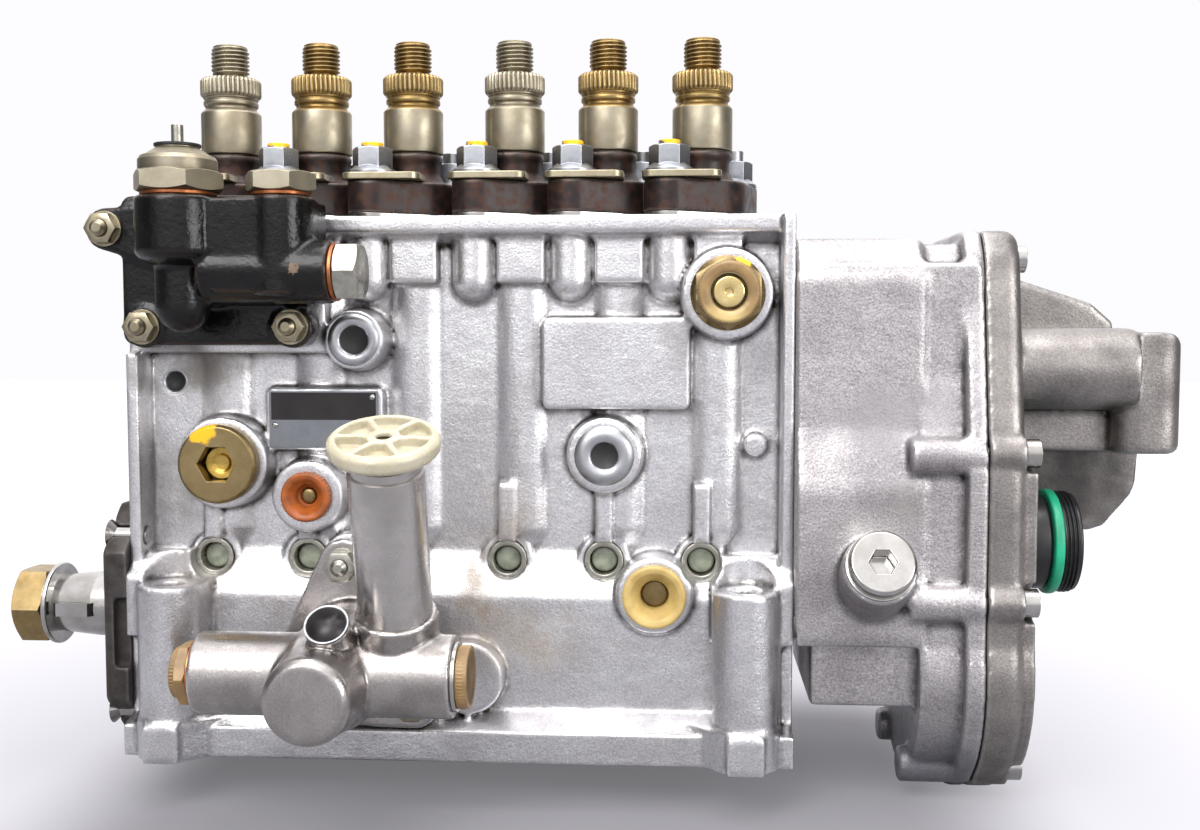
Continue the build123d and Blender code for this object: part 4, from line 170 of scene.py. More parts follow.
@dataclass(frozen=True)
class Finish:
    """One surface finish, from its real material and how its surface was made.

    Attributes:
        name: The material's name.
        colour: Main tone, sRGB hex.
        second: The other tone, sRGB hex.
        patch_mm: Size of the patches of the second tone.
        amount: Share of the second tone, 0 to 1.
        metallic: 1 for bare metal, 0 for paint and plastic.
        roughness: Lowest and highest roughness.
        grain_mm: Size of the surface's grain.
        grain_depth_mm: Depth of the grain.
        hollow_dirt_and_shade: Tone of hollows, for grime and for painted shade, sRGB hex.
        hollow_dirt_and_shade_amount: How much of it.
        worn: Tone of rubbed edges, sRGB hex.
        worn_amount: How much of it.
        dabs: Paint marks, stains and patches of painted shade and light at set places.
        streak: Stretch of the grain along X, Y and Z; 1 for even grain.
        subsurface: Share of the light that spreads inside the material.
        coat: Strength of a clear layer on top.
        transmission: Share of the light that passes through.
        speckle: Contrast of the fine sandy mottling, 0 to 1.
        specular: Strength of the clear reflection on paint and plastic.
    """

    name: str
    colour: str
    second: str
    patch_mm: float = 14.0
    amount: float = 0.5
    metallic: float = 1.0
    roughness: Pair = (0.32, 0.5)
    grain_mm: float = 1.0
    grain_depth_mm: float = 0.05
    hollow_dirt_and_shade: str = "#3A342C"
    hollow_dirt_and_shade_amount: float = 0.0
    worn: str = "#E4E4E6"
    worn_amount: float = 0.0
    dabs: tuple[Dab, ...] = ()
    streak: Vec = (1.0, 1.0, 1.0)
    subsurface: float = 0.0
    coat: float = 0.0
    transmission: float = 0.0
    speckle: float = 0.0
    specular: float = 0.5

    def build(self) -> Material:
        """Make the material.

        Returns:
            The node material.
        """
        material = bpy.data.materials.new(self.name)
        tree = blank_tree(material)
        coords = add_node(tree, "TexCoord").outputs["Object"]
        tone, mask = self._tones(tree, coords)
        tone = self._dirt_shade_and_wear(tree, coords, tone)
        rough = add_node(tree, "MapRange", {"To Min": self.roughness[0], "To Max": self.roughness[1]},
                         {"Value": mask}).outputs["Result"]
        metal: Socket | None = None
        for dab in self.dabs:
            tone, rough, metal = self._dab(tree, coords, dab, tone, rough, metal)
        links = {"Base Color": tone, "Roughness": rough, "Normal": self._grain(tree, coords)}
        if metal is not None:
            links["Metallic"] = metal
        shader = add_node(tree, "BsdfPrincipled",
                          {"Metallic": self.metallic, "Subsurface Weight": self.subsurface,
                           "Subsurface Radius": LIGHT_DEPTH, "Specular IOR Level": self.specular,
                           "Coat Weight": self.coat, "Coat Roughness": COAT_ROUGHNESS,
                           "Transmission Weight": self.transmission}, links)
        add_node(tree, "OutputMaterial", None, {"Surface": shader.outputs[0]})
        return material

    def _noise(self, tree: Tree, coords: Socket, size_mm: float,
               detail: float = 4.0, rough: float = 0.55) -> Socket:
        """A noise of about the given feature size; returns its factor."""
        settings = {"Scale": 1 / (size_mm * MM), "Detail": detail, "Roughness": rough}
        return add_node(tree, "TexNoise", settings, {"Vector": coords}).outputs["Fac"]

    def _tones(self, tree: Tree, coords: Socket
               ) -> tuple[Socket, Socket]:
        """Mix the two tones by soft clouds of noise and mottle them; returns the colour and the mask."""
        middle = NOISE_HIGH - (NOISE_HIGH - NOISE_LOW) * self.amount
        noise = self._noise(tree, coords, self.patch_mm)
        mask = add_node(tree, "MapRange", {"From Min": middle - TONE_BLEND, "From Max": middle + TONE_BLEND,
                                           "interpolation_type": "SMOOTHSTEP"},
                        {"Value": noise}).outputs["Result"]
        tone = add_node(tree, "Mix", {"data_type": "RGBA", 6: linear(self.colour), 7: linear(self.second)},
                        {0: mask}).outputs[2]
        if self.speckle:
            sand = add_node(tree, "MapRange", {"From Min": SAND_RANGE[0], "From Max": SAND_RANGE[1],
                                               "To Min": 1 - self.speckle, "To Max": 1 + 0.3 * self.speckle},
                            {"Value": self._noise(tree, coords, SAND_MM, 3.0, 0.65)}).outputs["Result"]
            tone = add_node(tree, "VectorMath", {"operation": "SCALE"}, {0: tone, "Scale": sand}).outputs[0]
        return tone, mask

    def _dirt_shade_and_wear(self, tree: Tree, coords: Socket,
              tone: Socket) -> Socket:
        """Add grime and painted shade in hollows and wear on rubbed edges, all broken up by noise; returns
        the colour.
        """
        if not (self.hollow_dirt_and_shade_amount or self.worn_amount):
            return tone
        bend = add_node(tree, "NewGeometry").outputs["Pointiness"]
        broken = self._noise(tree, coords, BLOTCH_MM)
        # Hollows take a dark tone that stands for grime and painted shade; rubbed edges take a pale tone for
        # wear.
        for (low, high), colour, amount in ((HOLLOW, self.hollow_dirt_and_shade, self.hollow_dirt_and_shade_amount),
                                            (RUBBED, self.worn, self.worn_amount)):
            if not amount:
                continue
            mask = add_node(tree, "MapRange", {"From Min": low, "From Max": high},
                            {"Value": bend}).outputs["Result"]
            mask = add_node(tree, "Math", {"operation": "MULTIPLY"}, {0: mask, 1: broken}).outputs[0]
            mask = add_node(tree, "Math", {"operation": "MULTIPLY", "use_clamp": True, 1: 2 * amount},
                            {0: mask}).outputs[0]
            tone = add_node(tree, "Mix", {"data_type": "RGBA", 7: linear(colour)},
                            {0: mask, 6: tone}).outputs[2]
        return tone

    def _dab(self, tree: Tree, coords: Socket, dab: Dab,
             tone: Socket, rough: Socket, metal: Socket | None
             ) -> tuple[Socket, Socket, Socket]:
        """Paint one dab: a ball about its centre with an outline broken up by noise."""
        middle = tuple(c * MM for c in dab.centre)
        sides = tuple(1 / (dab.radius * MM * s) for s in dab.stretch)
        shift = add_node(tree, "VectorMath", {"operation": "SUBTRACT", 1: middle}, {0: coords}).outputs[0]
        scaled = add_node(tree, "VectorMath", {"operation": "MULTIPLY", 1: sides}, {0: shift}).outputs[0]
        reach = add_node(tree, "VectorMath", {"operation": "LENGTH"}, {0: scaled}).outputs["Value"]
        noise = self._noise(tree, coords, dab.radius * OUTLINE_NOISE, 3.0)
        wavy = add_node(tree, "Math", {"operation": "MULTIPLY_ADD", 1: 2 * dab.ragged, 2: -dab.ragged},
                        {0: noise}).outputs[0]
        edge = add_node(tree, "Math", {"operation": "ADD"}, {0: reach, 1: wavy}).outputs[0]
        mask = add_node(tree, "MapRange", {"From Min": 1.0, "From Max": 1.0 - dab.soft - 0.001,
                                           "To Max": dab.strength, "interpolation_type": "SMOOTHSTEP"},
                        {"Value": edge}).outputs["Result"]
        tone = add_node(tree, "Mix", {"data_type": "RGBA", 7: linear(dab.colour)},
                        {0: mask, 6: tone}).outputs[2]
        rough = add_node(tree, "Mix", {3: dab.rough}, {0: mask, 2: rough}).outputs[0]
        under = self.metallic * DAB_METALLIC
        if metal is None:
            metal = add_node(tree, "Mix", {2: self.metallic, 3: under}, {0: mask}).outputs[0]
        else:
            metal = add_node(tree, "Mix", {3: under}, {0: mask, 2: metal}).outputs[0]
        return tone, rough, metal

    def _grain(self, tree: Tree, coords: Socket) -> Socket:
        """Bump from the surface's grain and softer, larger unevenness; returns the normal."""
        stretched = add_node(tree, "Mapping", {"Scale": self.streak}, {"Vector": coords}).outputs[0]
        fine = self._noise(tree, stretched, self.grain_mm, 3.0, 0.6)
        broad = self._noise(tree, coords, UNEVEN * self.grain_mm, 2.0)
        height = add_node(tree, "Math", {"operation": "MULTIPLY_ADD", 1: 2.0}, {0: broad, 2: fine}).outputs[0]
        return add_node(tree, "Bump", {"Strength": 1.0, "Distance": self.grain_depth_mm * MM},
                        {"Height": height}).outputs[0]


NUT_MARKS = tuple(Dab((x - 11.0, -17.0, 220.0), 4.2, YELLOW_PAINT, 0.45, 0.7, 0.15, (1.1, 1.1, 0.5))
                  for x in ELEMENT_XS)


@dataclass(frozen=True)
class FinishBook:
    """All finishes of the pump, each from its real material and how its surface was made, some with painted
    shade and light.
    """

    # Sand-cast and glass-bead blasted aluminium silicon alloy: bright, sandy, with oil stains, and grime and
    # painted shade in its hollows.
    housing: Finish = Finish(
        "sand_cast_aluminium", "#E2E1E2", "#C0BEC0", patch_mm=24.0, roughness=(0.26, 0.42), grain_mm=0.8,
        grain_depth_mm=0.14, hollow_dirt_and_shade="#3A352F", hollow_dirt_and_shade_amount=0.9, worn="#F8F8FA", worn_amount=0.6, speckle=0.22,
        dabs=(stain((-96.0, -30.0, 137.0), 26.0, "#6A665F", (1.1, 1.2, 0.7), 0.9),
              stain((-104.0, -30.0, 95.0), 20.0, "#7A766F", (0.8, 1.4, 1.2), 0.75),
              stain((22.0, -34.0, 40.0), 26.0, OIL_BROWN, (1.6, 1.0, 0.6), 0.5),
              stain((6.0, -34.0, 62.0), 13.0, OIL_BROWN, (0.8, 1.3, 1.6), 0.6),
              stain((18.0, -30.0, 82.0), 17.0, OIL_BROWN, (1.0, 1.0, 1.2), 0.4),
              stain((80.0, -36.0, 150.0), 16.0, "#6E6A68", (0.7, 1.4, 1.2), 0.5),
              stain((-96.0, -36.0, 62.0), 15.0, OIL_BROWN, (1.0, 1.0, 1.3), 0.4)))
    # The same alloy as cast, warmer and coarser, with a painted shade over its underside.
    governor: Finish = Finish(
        "grainy_cast_aluminium", "#C4C0C0", "#989496", patch_mm=30.0, roughness=(0.34, 0.52), grain_mm=0.9,
        grain_depth_mm=0.17, hollow_dirt_and_shade="#2E2D30", hollow_dirt_and_shade_amount=0.8, worn="#EEEDEE", worn_amount=0.4, speckle=0.34,
        # Painted shade: a dark blue grey patch over the governor's underside.
        dabs=(Dab((150.0, -20.0, -12.0), 54.0, "#3F424B", 0.4, 0.5, 0.9, (1.8, 1.6, 0.8), 0.95),
              Dab((150.0, -44.0, 122.0), 30.0, "#8E8B8D", 0.44, 0.9, 0.9, (1.0, 1.0, 0.6), 0.7),
              Dab((158.0, -40.0, 92.0), 16.0, "#77746F", 0.44, 0.9, 0.9, (0.8, 1.0, 0.7), 0.6)))
    # Pressure-die cast cover: warm grey, finely mottled, with painted shade on its lower back.
    cover: Finish = Finish(
        "die_cast_aluminium", "#9C9793", "#767270", patch_mm=18.0, roughness=(0.36, 0.5), grain_mm=1.0,
        grain_depth_mm=0.12, hollow_dirt_and_shade="#2C2926", hollow_dirt_and_shade_amount=0.9, worn="#DEDDDB", worn_amount=0.4, speckle=0.25,
        # Painted shade: a dark patch on the lower back gusset of the cover, where shadow falls.
        dabs=(Dab((226.0, 20.0, 92.0), 28.0, "#2E2A28", 0.45, 0.6, 0.8, (1.2, 1.6, 0.9), 0.92),))
    # Feed pump casting, smoother and rubbed by hands.
    feed: Finish = Finish(
        "handled_cast_aluminium", "#B7B2AF", "#999492", patch_mm=12.0, roughness=(0.22, 0.38), grain_mm=1.2,
        grain_depth_mm=0.08, hollow_dirt_and_shade="#3C352C", hollow_dirt_and_shade_amount=0.9, worn="#F6F5F4", worn_amount=0.5, speckle=0.16)
    # Gloss black enamel on a rough iron casting, chipped to bare metal on its edges.
    black: Finish = Finish(
        "chipped_black_enamel", "#050506", "#0B0908", patch_mm=9.0, metallic=0.0, roughness=(0.14, 0.26),
        grain_mm=1.8, grain_depth_mm=0.2, worn="#4E3A2C", worn_amount=0.7, specular=0.32,
        dabs=(Dab((-69.0, -60.0, 166.0), 1.8, "#6A4232", 0.5, 0.8, 0.3),
              Dab((-48.0, -66.0, 172.0), 2.0, "#6B5848", 0.5, 0.9, 0.3),
              Dab((-62.0, -66.0, 163.0), 1.6, "#5E4A3C", 0.5, 0.9, 0.3)))
    # Rough cast iron, browned: dark and nearly matt.
    iron: Finish = Finish(
        "rough_cast_iron", "#4A4644", "#37322F", patch_mm=7.0, metallic=0.7, roughness=(0.5, 0.7),
        grain_mm=1.6, grain_depth_mm=0.16, hollow_dirt_and_shade="#1D1917", hollow_dirt_and_shade_amount=0.4, worn="#8A8684", worn_amount=0.4)
    # Phosphated steel with rust and old oil: brown black with a dull sheen.
    phosphate: Finish = Finish(
        "rusty_phosphated_steel", "#2A2423", "#4A2E22", patch_mm=3.6, amount=0.12, metallic=0.6,
        roughness=(0.36, 0.6), grain_mm=1.2, grain_depth_mm=0.05, hollow_dirt_and_shade="#15110E", hollow_dirt_and_shade_amount=0.5,
        worn="#8A8178", worn_amount=0.4)
    # Yellow chromated zinc, aged to olive gold and rubbed grey.
    olive_gold: Finish = Finish(
        "olive_grey_zinc", "#9A9280", "#867D69", patch_mm=7.0, roughness=(0.36, 0.52), grain_mm=2.2,
        grain_depth_mm=0.012, hollow_dirt_and_shade="#2C2416", hollow_dirt_and_shade_amount=0.5, worn="#CFC8B4", worn_amount=0.4)
    # The same plating, browner.
    bronze_zinc: Finish = Finish(
        "bronzed_zinc", "#957B4C", "#7C663F", patch_mm=7.0, roughness=(0.32, 0.48), grain_mm=2.2,
        grain_depth_mm=0.012, hollow_dirt_and_shade="#2A1E0E", hollow_dirt_and_shade_amount=0.5, worn="#CDBE98", worn_amount=0.4)
    # Yellow zinc, fresh: pale gold with a soft sheen.
    yellow_zinc: Finish = Finish(
        "yellow_zinc", "#9D9682", "#857B66", patch_mm=5.0, roughness=(0.28, 0.42), grain_mm=2.0,
        grain_depth_mm=0.01, hollow_dirt_and_shade="#2F2615", hollow_dirt_and_shade_amount=0.5, worn="#DDD2B0", worn_amount=0.3)
    # Clear zinc plate, slightly dulled: neutral grey with soft highlights.
    silver_zinc: Finish = Finish(
        "silver_zinc", "#B4B2A8", "#8F8C82", patch_mm=5.0, roughness=(0.24, 0.4), grain_mm=2.0,
        grain_depth_mm=0.01, hollow_dirt_and_shade="#2A261F", hollow_dirt_and_shade_amount=0.5, worn="#E8E6DE", worn_amount=0.3)
    # The same zinc on the flange nuts, marked with yellow paint on top after tightening.
    marked_zinc: Finish = Finish(
        "marked_zinc", "#A6A8AC", "#8B8D92", patch_mm=5.0, roughness=(0.26, 0.42), grain_mm=2.0,
        grain_depth_mm=0.01, hollow_dirt_and_shade="#2A261F", hollow_dirt_and_shade_amount=0.5, worn="#E0E0E2", worn_amount=0.3,
        dabs=NUT_MARKS)
    # Turned and polished steel: sharp highlights drawn out by the turning.
    polished: Finish = Finish(
        "turned_steel", "#BDBBB8", "#A29F9A", patch_mm=8.0, roughness=(0.14, 0.26), grain_mm=0.8,
        grain_depth_mm=0.006, streak=(0.05, 1.0, 1.0))
    # Drawn tube, polished by handling: long highlights along its length.
    tube: Finish = Finish(
        "drawn_steel_tube", "#CFCBC8", "#B2AEAB", patch_mm=16.0, roughness=(0.22, 0.34), grain_mm=0.7,
        grain_depth_mm=0.008, streak=(1.0, 1.0, 0.05))
    # Cast bronze plug, dulled by oil: brown yellow, marked with yellow paint.
    bronze: Finish = Finish(
        "dull_bronze", "#94805A", "#7C6A48", patch_mm=7.0, roughness=(0.3, 0.46), grain_mm=1.6,
        grain_depth_mm=0.02, hollow_dirt_and_shade="#2C2314", hollow_dirt_and_shade_amount=0.6, worn="#CDBB8E", worn_amount=0.5,
        dabs=(Dab((-90.5, -38.0, 117.0), 6.4, YELLOW_PAINT, 0.45, 0.5, 0.25),))
    # Turned brass: bright yellow with clear highlights.
    brass: Finish = Finish(
        "turned_brass", "#C9A95C", "#A9893F", patch_mm=5.0, roughness=(0.18, 0.32), grain_mm=1.2,
        grain_depth_mm=0.008)
    # Tarnished brass hexagon: brown faces with bright rubbed edges.
    hex_brass: Finish = Finish(
        "tarnished_hexagon", "#7E6A4A", "#625238", patch_mm=6.0, roughness=(0.28, 0.42), grain_mm=1.6,
        grain_depth_mm=0.02, hollow_dirt_and_shade="#30260F", hollow_dirt_and_shade_amount=0.6, worn="#D8C89C", worn_amount=0.5,
        dabs=(Dab((101.0, -44.0, 176.0), 5.0, YELLOW_PAINT, 0.45, 0.5, 0.2),))
    # Annealed copper sealing rings: thin, half-matt red lines.
    copper: Finish = Finish("plain_copper", "#B5734C", "#8E5637", patch_mm=4.0, roughness=(0.3, 0.45))
    # Moulded polyethylene caps: waxy, lit a little from inside, with grime and painted shade in the hollows.
    orange: Finish = Finish(
        "orange_polyethylene", "#A8571F", "#7E4318", patch_mm=5.0, metallic=0.0, roughness=(0.35, 0.5),
        grain_mm=1.2, grain_depth_mm=0.02, hollow_dirt_and_shade="#2B140A", hollow_dirt_and_shade_amount=0.5, subsurface=0.1)
    tan: Finish = Finish(
        "tan_polyethylene", "#C4AB6C", "#AD9154", patch_mm=6.0, metallic=0.0, roughness=(0.32, 0.5),
        grain_mm=1.2, grain_depth_mm=0.02, hollow_dirt_and_shade="#3A2B17", hollow_dirt_and_shade_amount=0.7, subsurface=0.1)
    # Translucent ivory polyamide, yellowed at its thin edge.
    ivory: Finish = Finish(
        "ivory_polyamide", "#CDC6B2", "#BDB59C", patch_mm=9.0, metallic=0.0, roughness=(0.2, 0.32),
        grain_mm=1.5, grain_depth_mm=0.01, hollow_dirt_and_shade="#C4B890", hollow_dirt_and_shade_amount=0.25, subsurface=0.7,
        transmission=0.15,
        dabs=(Dab((-12.0, -98.0, 111.0), 13.0, "#D9C08C", 0.28, 0.4, 0.9, (1.6, 1.0, 0.4), 0.5),))
    # Glass-filled black polyamide: even black with a dull sheen.
    black_plastic: Finish = Finish(
        "black_polyamide", "#121213", "#1B1B1D", patch_mm=8.0, metallic=0.0, roughness=(0.3, 0.46),
        grain_mm=1.0, grain_depth_mm=0.015)
    # Green fluoroelastomer ring: strong colour, half matt.
    green_rubber: Finish = Finish(
        "green_elastomer", "#1FA77C", "#178A66", patch_mm=9.0, metallic=0.0, roughness=(0.3, 0.42),
        grain_mm=1.2, grain_depth_mm=0.01)
    # Glassy sealant over the guide pins: a glossy, greenish bead.
    sealant: Finish = Finish(
        "glassy_sealant", "#9AA08A", "#6F7565", patch_mm=4.0, metallic=0.0, roughness=(0.06, 0.12),
        grain_mm=4.0, grain_depth_mm=0.05, coat=0.6)
    # Nitrile elastomer, black and matt; also put on the walls of drilled holes as painted shade.
    rubber: Finish = Finish(
        "nitrile_rubber_and_hole_shade", "#141414", "#1C1B1A", patch_mm=6.0, metallic=0.0, roughness=(0.45, 0.6))
    # Milled and drilled aluminium: clean grey, smoother than the castings.
    machined: Finish = Finish(
        "machined_aluminium", "#BDBEC1", "#A7A8AB", patch_mm=6.0, roughness=(0.3, 0.42), grain_mm=0.7,
        grain_depth_mm=0.02, hollow_dirt_and_shade="#2E2B28", hollow_dirt_and_shade_amount=0.6)
    # Old tan polyethylene cap: browner, with grime and painted shade in its hollows, and painted light as a
    # paler patch on the overflow cap's lower side.
    aged_tan: Finish = Finish(
        "aged_tan_polyethylene", "#96784C", "#7A623E", patch_mm=6.0, metallic=0.0, roughness=(0.34, 0.5),
        grain_mm=1.2, grain_depth_mm=0.03, hollow_dirt_and_shade="#3A2B17", hollow_dirt_and_shade_amount=0.7, subsurface=0.1,
        # Painted light: a paler patch on the lower side of the overflow cap.
        dabs=(Dab((94.0, -53.0, 155.0), 10.0, "#CBB277", 0.4, 0.5, 0.8, (1.4, 1.0, 0.8), 0.8),))
    # Freshly turned brass, nearly white.
    pale_brass: Finish = Finish(
        "pale_brass", "#DCC892", "#C6AF74", patch_mm=4.0, roughness=(0.2, 0.32), grain_mm=1.0,
        grain_depth_mm=0.01)
    # Anodised name plate: black upper field and bare lower field.
    plate: Finish = Finish(
        "anodised_plate", "#8D9094", "#7C7F84", patch_mm=8.0, roughness=(0.3, 0.42), grain_mm=0.8,
        grain_depth_mm=0.006)
    plate_black: Finish = Finish(
        "plate_black_field", "#1A1718", "#231E1F", patch_mm=8.0, metallic=0.2, roughness=(0.3, 0.42),
        grain_mm=0.8, grain_depth_mm=0.006)


# ------------------------------------------------------------------ meshes
def linked(name: str, mesh: bpy.types.Mesh) -> Piece:
    """An object of a mesh, linked to the scene."""
    made = bpy.data.objects.new(name, mesh)
    bpy.context.scene.collection.objects.link(made)
    return made


@contextmanager
def editing(mesh: bpy.types.Mesh) -> Iterator[bmesh.types.BMesh]:
    """Open a mesh for editing and write it back at the end.

    Args:
        mesh: The mesh.

    Yields:
        Its editable form.
    """
    work = bmesh.new()
    work.from_mesh(mesh)
    yield work
    work.to_mesh(mesh)
    work.free()


def add_box(work: bmesh.types.BMesh, low: Vec, high: Vec) -> None:
    """Add a box between two corners, in millimetres, to a mesh that is open for editing."""
    lows, highs = np.array(low) * MM, np.array(high) * MM
    corners = bmesh.ops.create_cube(work, size=1.0)["verts"]
    bmesh.ops.scale(work, vec=tuple(highs - lows), verts=corners)
    bmesh.ops.translate(work, vec=tuple((highs + lows) / 2), verts=corners)


def new_mesh(name: str, points: np.ndarray, faces: np.ndarray) -> Piece:
    """Make an object from arrays of points, in metres, and of four-cornered faces.

    Args:
        name: The object's name.
        points: An array of shape (n, 3).
        faces: An array of shape (m, 4) of point numbers.

    Returns:
        The linked object, shaded smooth.
    """
    mesh = bpy.data.meshes.new(name)
    mesh.vertices.add(len(points))
    mesh.vertices.foreach_set("co", np.ascontiguousarray(points, np.float32).ravel())
    mesh.loops.add(faces.size)
    mesh.loops.foreach_set("vertex_index", np.ascontiguousarray(faces, np.int32).ravel())
    mesh.polygons.add(len(faces))
    mesh.polygons.foreach_set("loop_start", np.arange(0, faces.size, 4, dtype=np.int32))
    mesh.polygons.foreach_set("use_smooth", np.ones(len(faces), bool))
    mesh.update(calc_edges=True)
    mesh.validate()
    return linked(name, mesh)


def ring_faces(rows: int, columns: int) -> np.ndarray:
    """Faces of a grid of points whose columns close into a ring.

    Args:
        rows: Number of points along the profile.
        columns: Number of points round the ring.

    Returns:
        An array of shape ((rows - 1) * columns, 4).
    """
    row, column = np.meshgrid(np.arange(rows - 1), np.arange(columns), indexing="ij")
    after = (column + 1) % columns
    here, ahead = row * columns, (row + 1) * columns
    corners = (here + column, here + after, ahead + after, ahead + column)
    return np.stack(corners, -1).reshape(-1, 4)


def rounded(profile: Profile, radius: float, steps: int = 4) -> np.ndarray:
    """Round the inner corners of an open profile.

    Each corner becomes a quadratic curve between points set back from it by the radius, or by under half
    of the shorter side where that is less.

    Args:
        profile: (radius, height) points in millimetres.
        radius: How far the rounding reaches from a corner, in millimetres.
        steps: Points on each rounded corner.

    Returns:
        An array of shape (n, 2).
    """
    points = np.array(profile, float)
    sides = np.linalg.norm(np.diff(points, axis=0), axis=1)
    out = [points[:1]]
    share = np.linspace(0, 1, steps)[:, None]
    for before, here, after, back, ahead in zip(points, points[1:], points[2:], sides, sides[1:]):
        reach = min(radius, CORNER_SHARE * back, CORNER_SHARE * ahead)
        start = here + (before - here) / back * reach
        end = here + (after - here) / ahead * reach
        out.append((1 - share) ** 2 * start + 2 * share * (1 - share) * here + share ** 2 * end)
    out.append(points[-1:])
    return np.concatenate(out)


@dataclass(frozen=True)
class Axis3:
    """A place and a direction that turned pieces are built about, in millimetres.

    Attributes:
        origin: Where heights begin.
        normal: The direction of the axis.
        side: The direction of angle 0, made square to the normal.
    """

    origin: Vec
    normal: Vec = (0.0, 0.0, 1.0)
    side: Vec = (1.0, 0.0, 0.0)

    def lay(self, across: np.ndarray, over: np.ndarray, height: np.ndarray) -> np.ndarray:
        """Turn local coordinates to metres in the frame.

        Args:
            across: Distances along the side direction.
            over: Distances along the third direction.
            height: Distances along the normal.

        Returns:
            Points of shape (..., 3), in metres.
        """
        normal = np.array(self.normal) / np.linalg.norm(self.normal)
        side = np.array(self.side) - normal * np.dot(self.side, normal)
        side = side / np.linalg.norm(side)
        third = np.cross(normal, side)
        place = (np.array(self.origin) + across[..., None] * side + over[..., None] * third
                 + height[..., None] * normal)
        return place * MM


def turned(name: str, axis: Axis3, profile: np.ndarray, columns: int = 96,
           shape: Callable[[np.ndarray, np.ndarray, np.ndarray], np.ndarray] | None = None) -> Piece:
    """Turn a profile about an axis, with an optional change of the radius over angle and height.

    The point at angle t and profile place (r, h) lies at radius shape(r, t, h). A profile that starts or
    ends off the axis is closed by a ring of faces drawn to the middle.

    Args:
        name: The object's name.
        axis: Where it stands.
        profile: (radius, height) points in millimetres, from below the outside to above the inside.
        columns: Points round the ring.
        shape: New radius from radius, angle and height, all as arrays.

    Returns:
        The object.
    """
    angle = np.linspace(0, 2 * math.pi, columns, endpoint=False)
    radius, turn = np.meshgrid(profile[:, 0], angle, indexing="ij")
    height = np.repeat(profile[:, 1:2], columns, axis=1)
    if shape:
        radius = shape(radius, turn, height)
    points = axis.lay(radius * np.cos(turn), radius * np.sin(turn), height)
    made = new_mesh(name, points.reshape(-1, 3), ring_faces(len(profile), columns))
    close_poles(made)
    return made


def dense(profile: Profile, step: float) -> np.ndarray:
    """Add points to a profile so that no side is longer than a step.

    Args:
        profile: (radius, height) points in millimetres.
        step: The longest side, in millimetres.

    Returns:
        An array of shape (n, 2).
    """
    points = np.array(profile, float)
    counts = np.maximum(1, np.ceil(np.linalg.norm(np.diff(points, axis=0), axis=1) / step)).astype(int)
    sides = [np.linspace(a, b, n, endpoint=False) for a, b, n in zip(points, points[1:], counts)]
    return np.concatenate(sides + [points[-1:]])


@dataclass(frozen=True)
class Thread:
    """A screw thread cut into a turned piece, in millimetres.

    Attributes:
        low: Height at which it begins.
        high: Height at which it ends.
        root: Radius of its valleys.
        crest: Radius of its ridges.
        pitch: Height from ridge to ridge.
    """

    low: float
    high: float
    root: float
    crest: float
    pitch: float = 1.5

    def cut(self, radius: np.ndarray, angle: np.ndarray, height: np.ndarray) -> np.ndarray:
        """New radius of each point: a triangle wave that climbs one pitch a turn and fades at both ends."""
        wave = np.abs((height / self.pitch - angle / (2 * math.pi)) % 1 * 2 - 1)
        fade = np.clip(np.minimum(height - self.low, self.high - height) / self.pitch, 0, 1)
        cut = self.root + (self.crest - self.root) * np.clip(1.5 * wave - 0.25, 0, 1) * fade
        inside = (height > self.low) & (height < self.high) & (radius > self.root - 0.05)
        return np.where(inside, np.minimum(radius, cut), radius)


@dataclass(frozen=True)
class Teeth:
    """Rounded teeth round a turned piece, in millimetres.

    Attributes:
        low: Height at which they begin.
        high: Height at which they end.
        inner: Radius outside which points are moved.
        depth: Depth of the valleys.
        count: Number of teeth.
    """

    low: float
    high: float
    inner: float
    depth: float
    count: int

    def cut(self, radius: np.ndarray, angle: np.ndarray, height: np.ndarray) -> np.ndarray:
        """New radius of each point: narrow valleys between broad teeth."""
        valley = np.clip(1.6 * (0.5 - 0.5 * np.cos(self.count * angle)) - 0.6, 0, 1)
        inside = (height > self.low) & (height < self.high) & (radius > self.inner)
        return np.where(inside, radius - self.depth * valley, radius)


def second_finish(piece: Piece, material: Material, low: Vec, high: Vec) -> None:
    """Give the faces whose middles lie in a box, in millimetres, another finish."""
    centres = np.empty(3 * len(piece.data.polygons))
    piece.data.polygons.foreach_get("center", centres)
    places = centres.reshape(-1, 3)
    inside = np.all((places > np.array(low) * MM) & (places < np.array(high) * MM), axis=1)
    slots = np.empty(len(piece.data.polygons), np.int32)
    piece.data.polygons.foreach_get("material_index", slots)
    piece.data.materials.append(material)
    slots[inside] = len(piece.data.materials) - 1
    piece.data.polygons.foreach_set("material_index", slots)


def close_poles(piece: Piece) -> None:
    """Merge the points on the axis, fill open rims and point all faces outwards."""
    with editing(piece.data) as work:
        bmesh.ops.remove_doubles(work, verts=work.verts, dist=TURNED_POINTS)
        rims = [edge for edge in work.edges if edge.is_boundary]
        if rims:
            bmesh.ops.holes_fill(work, edges=rims, sides=0)
        bmesh.ops.recalc_face_normals(work, faces=work.faces)


def merged_copy(node: str, name: str) -> Piece:
    """A copy of a CAD node with its loose triangles merged.

    Args:
        node: The node's name.
        name: The copy's name.

    Returns:
        The copy, linked and without a parent.
    """
    made = linked(name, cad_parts[node].data.copy())
    with editing(made.data) as work:
        bmesh.ops.remove_doubles(work, verts=work.verts, dist=LOOSE_POINTS)
    made.data.materials.clear()
    if made.data.has_custom_normals:
        made.data.attributes.remove(made.data.attributes["custom_normal"])
    return made


def bake_modifiers(piece: Piece) -> None:
    """Replace a piece's mesh by what its modifiers make of it."""
    graph = bpy.context.evaluated_depsgraph_get()
    result = bpy.data.meshes.new_from_object(piece.evaluated_get(graph))
    piece.modifiers.clear()
    piece.data = result


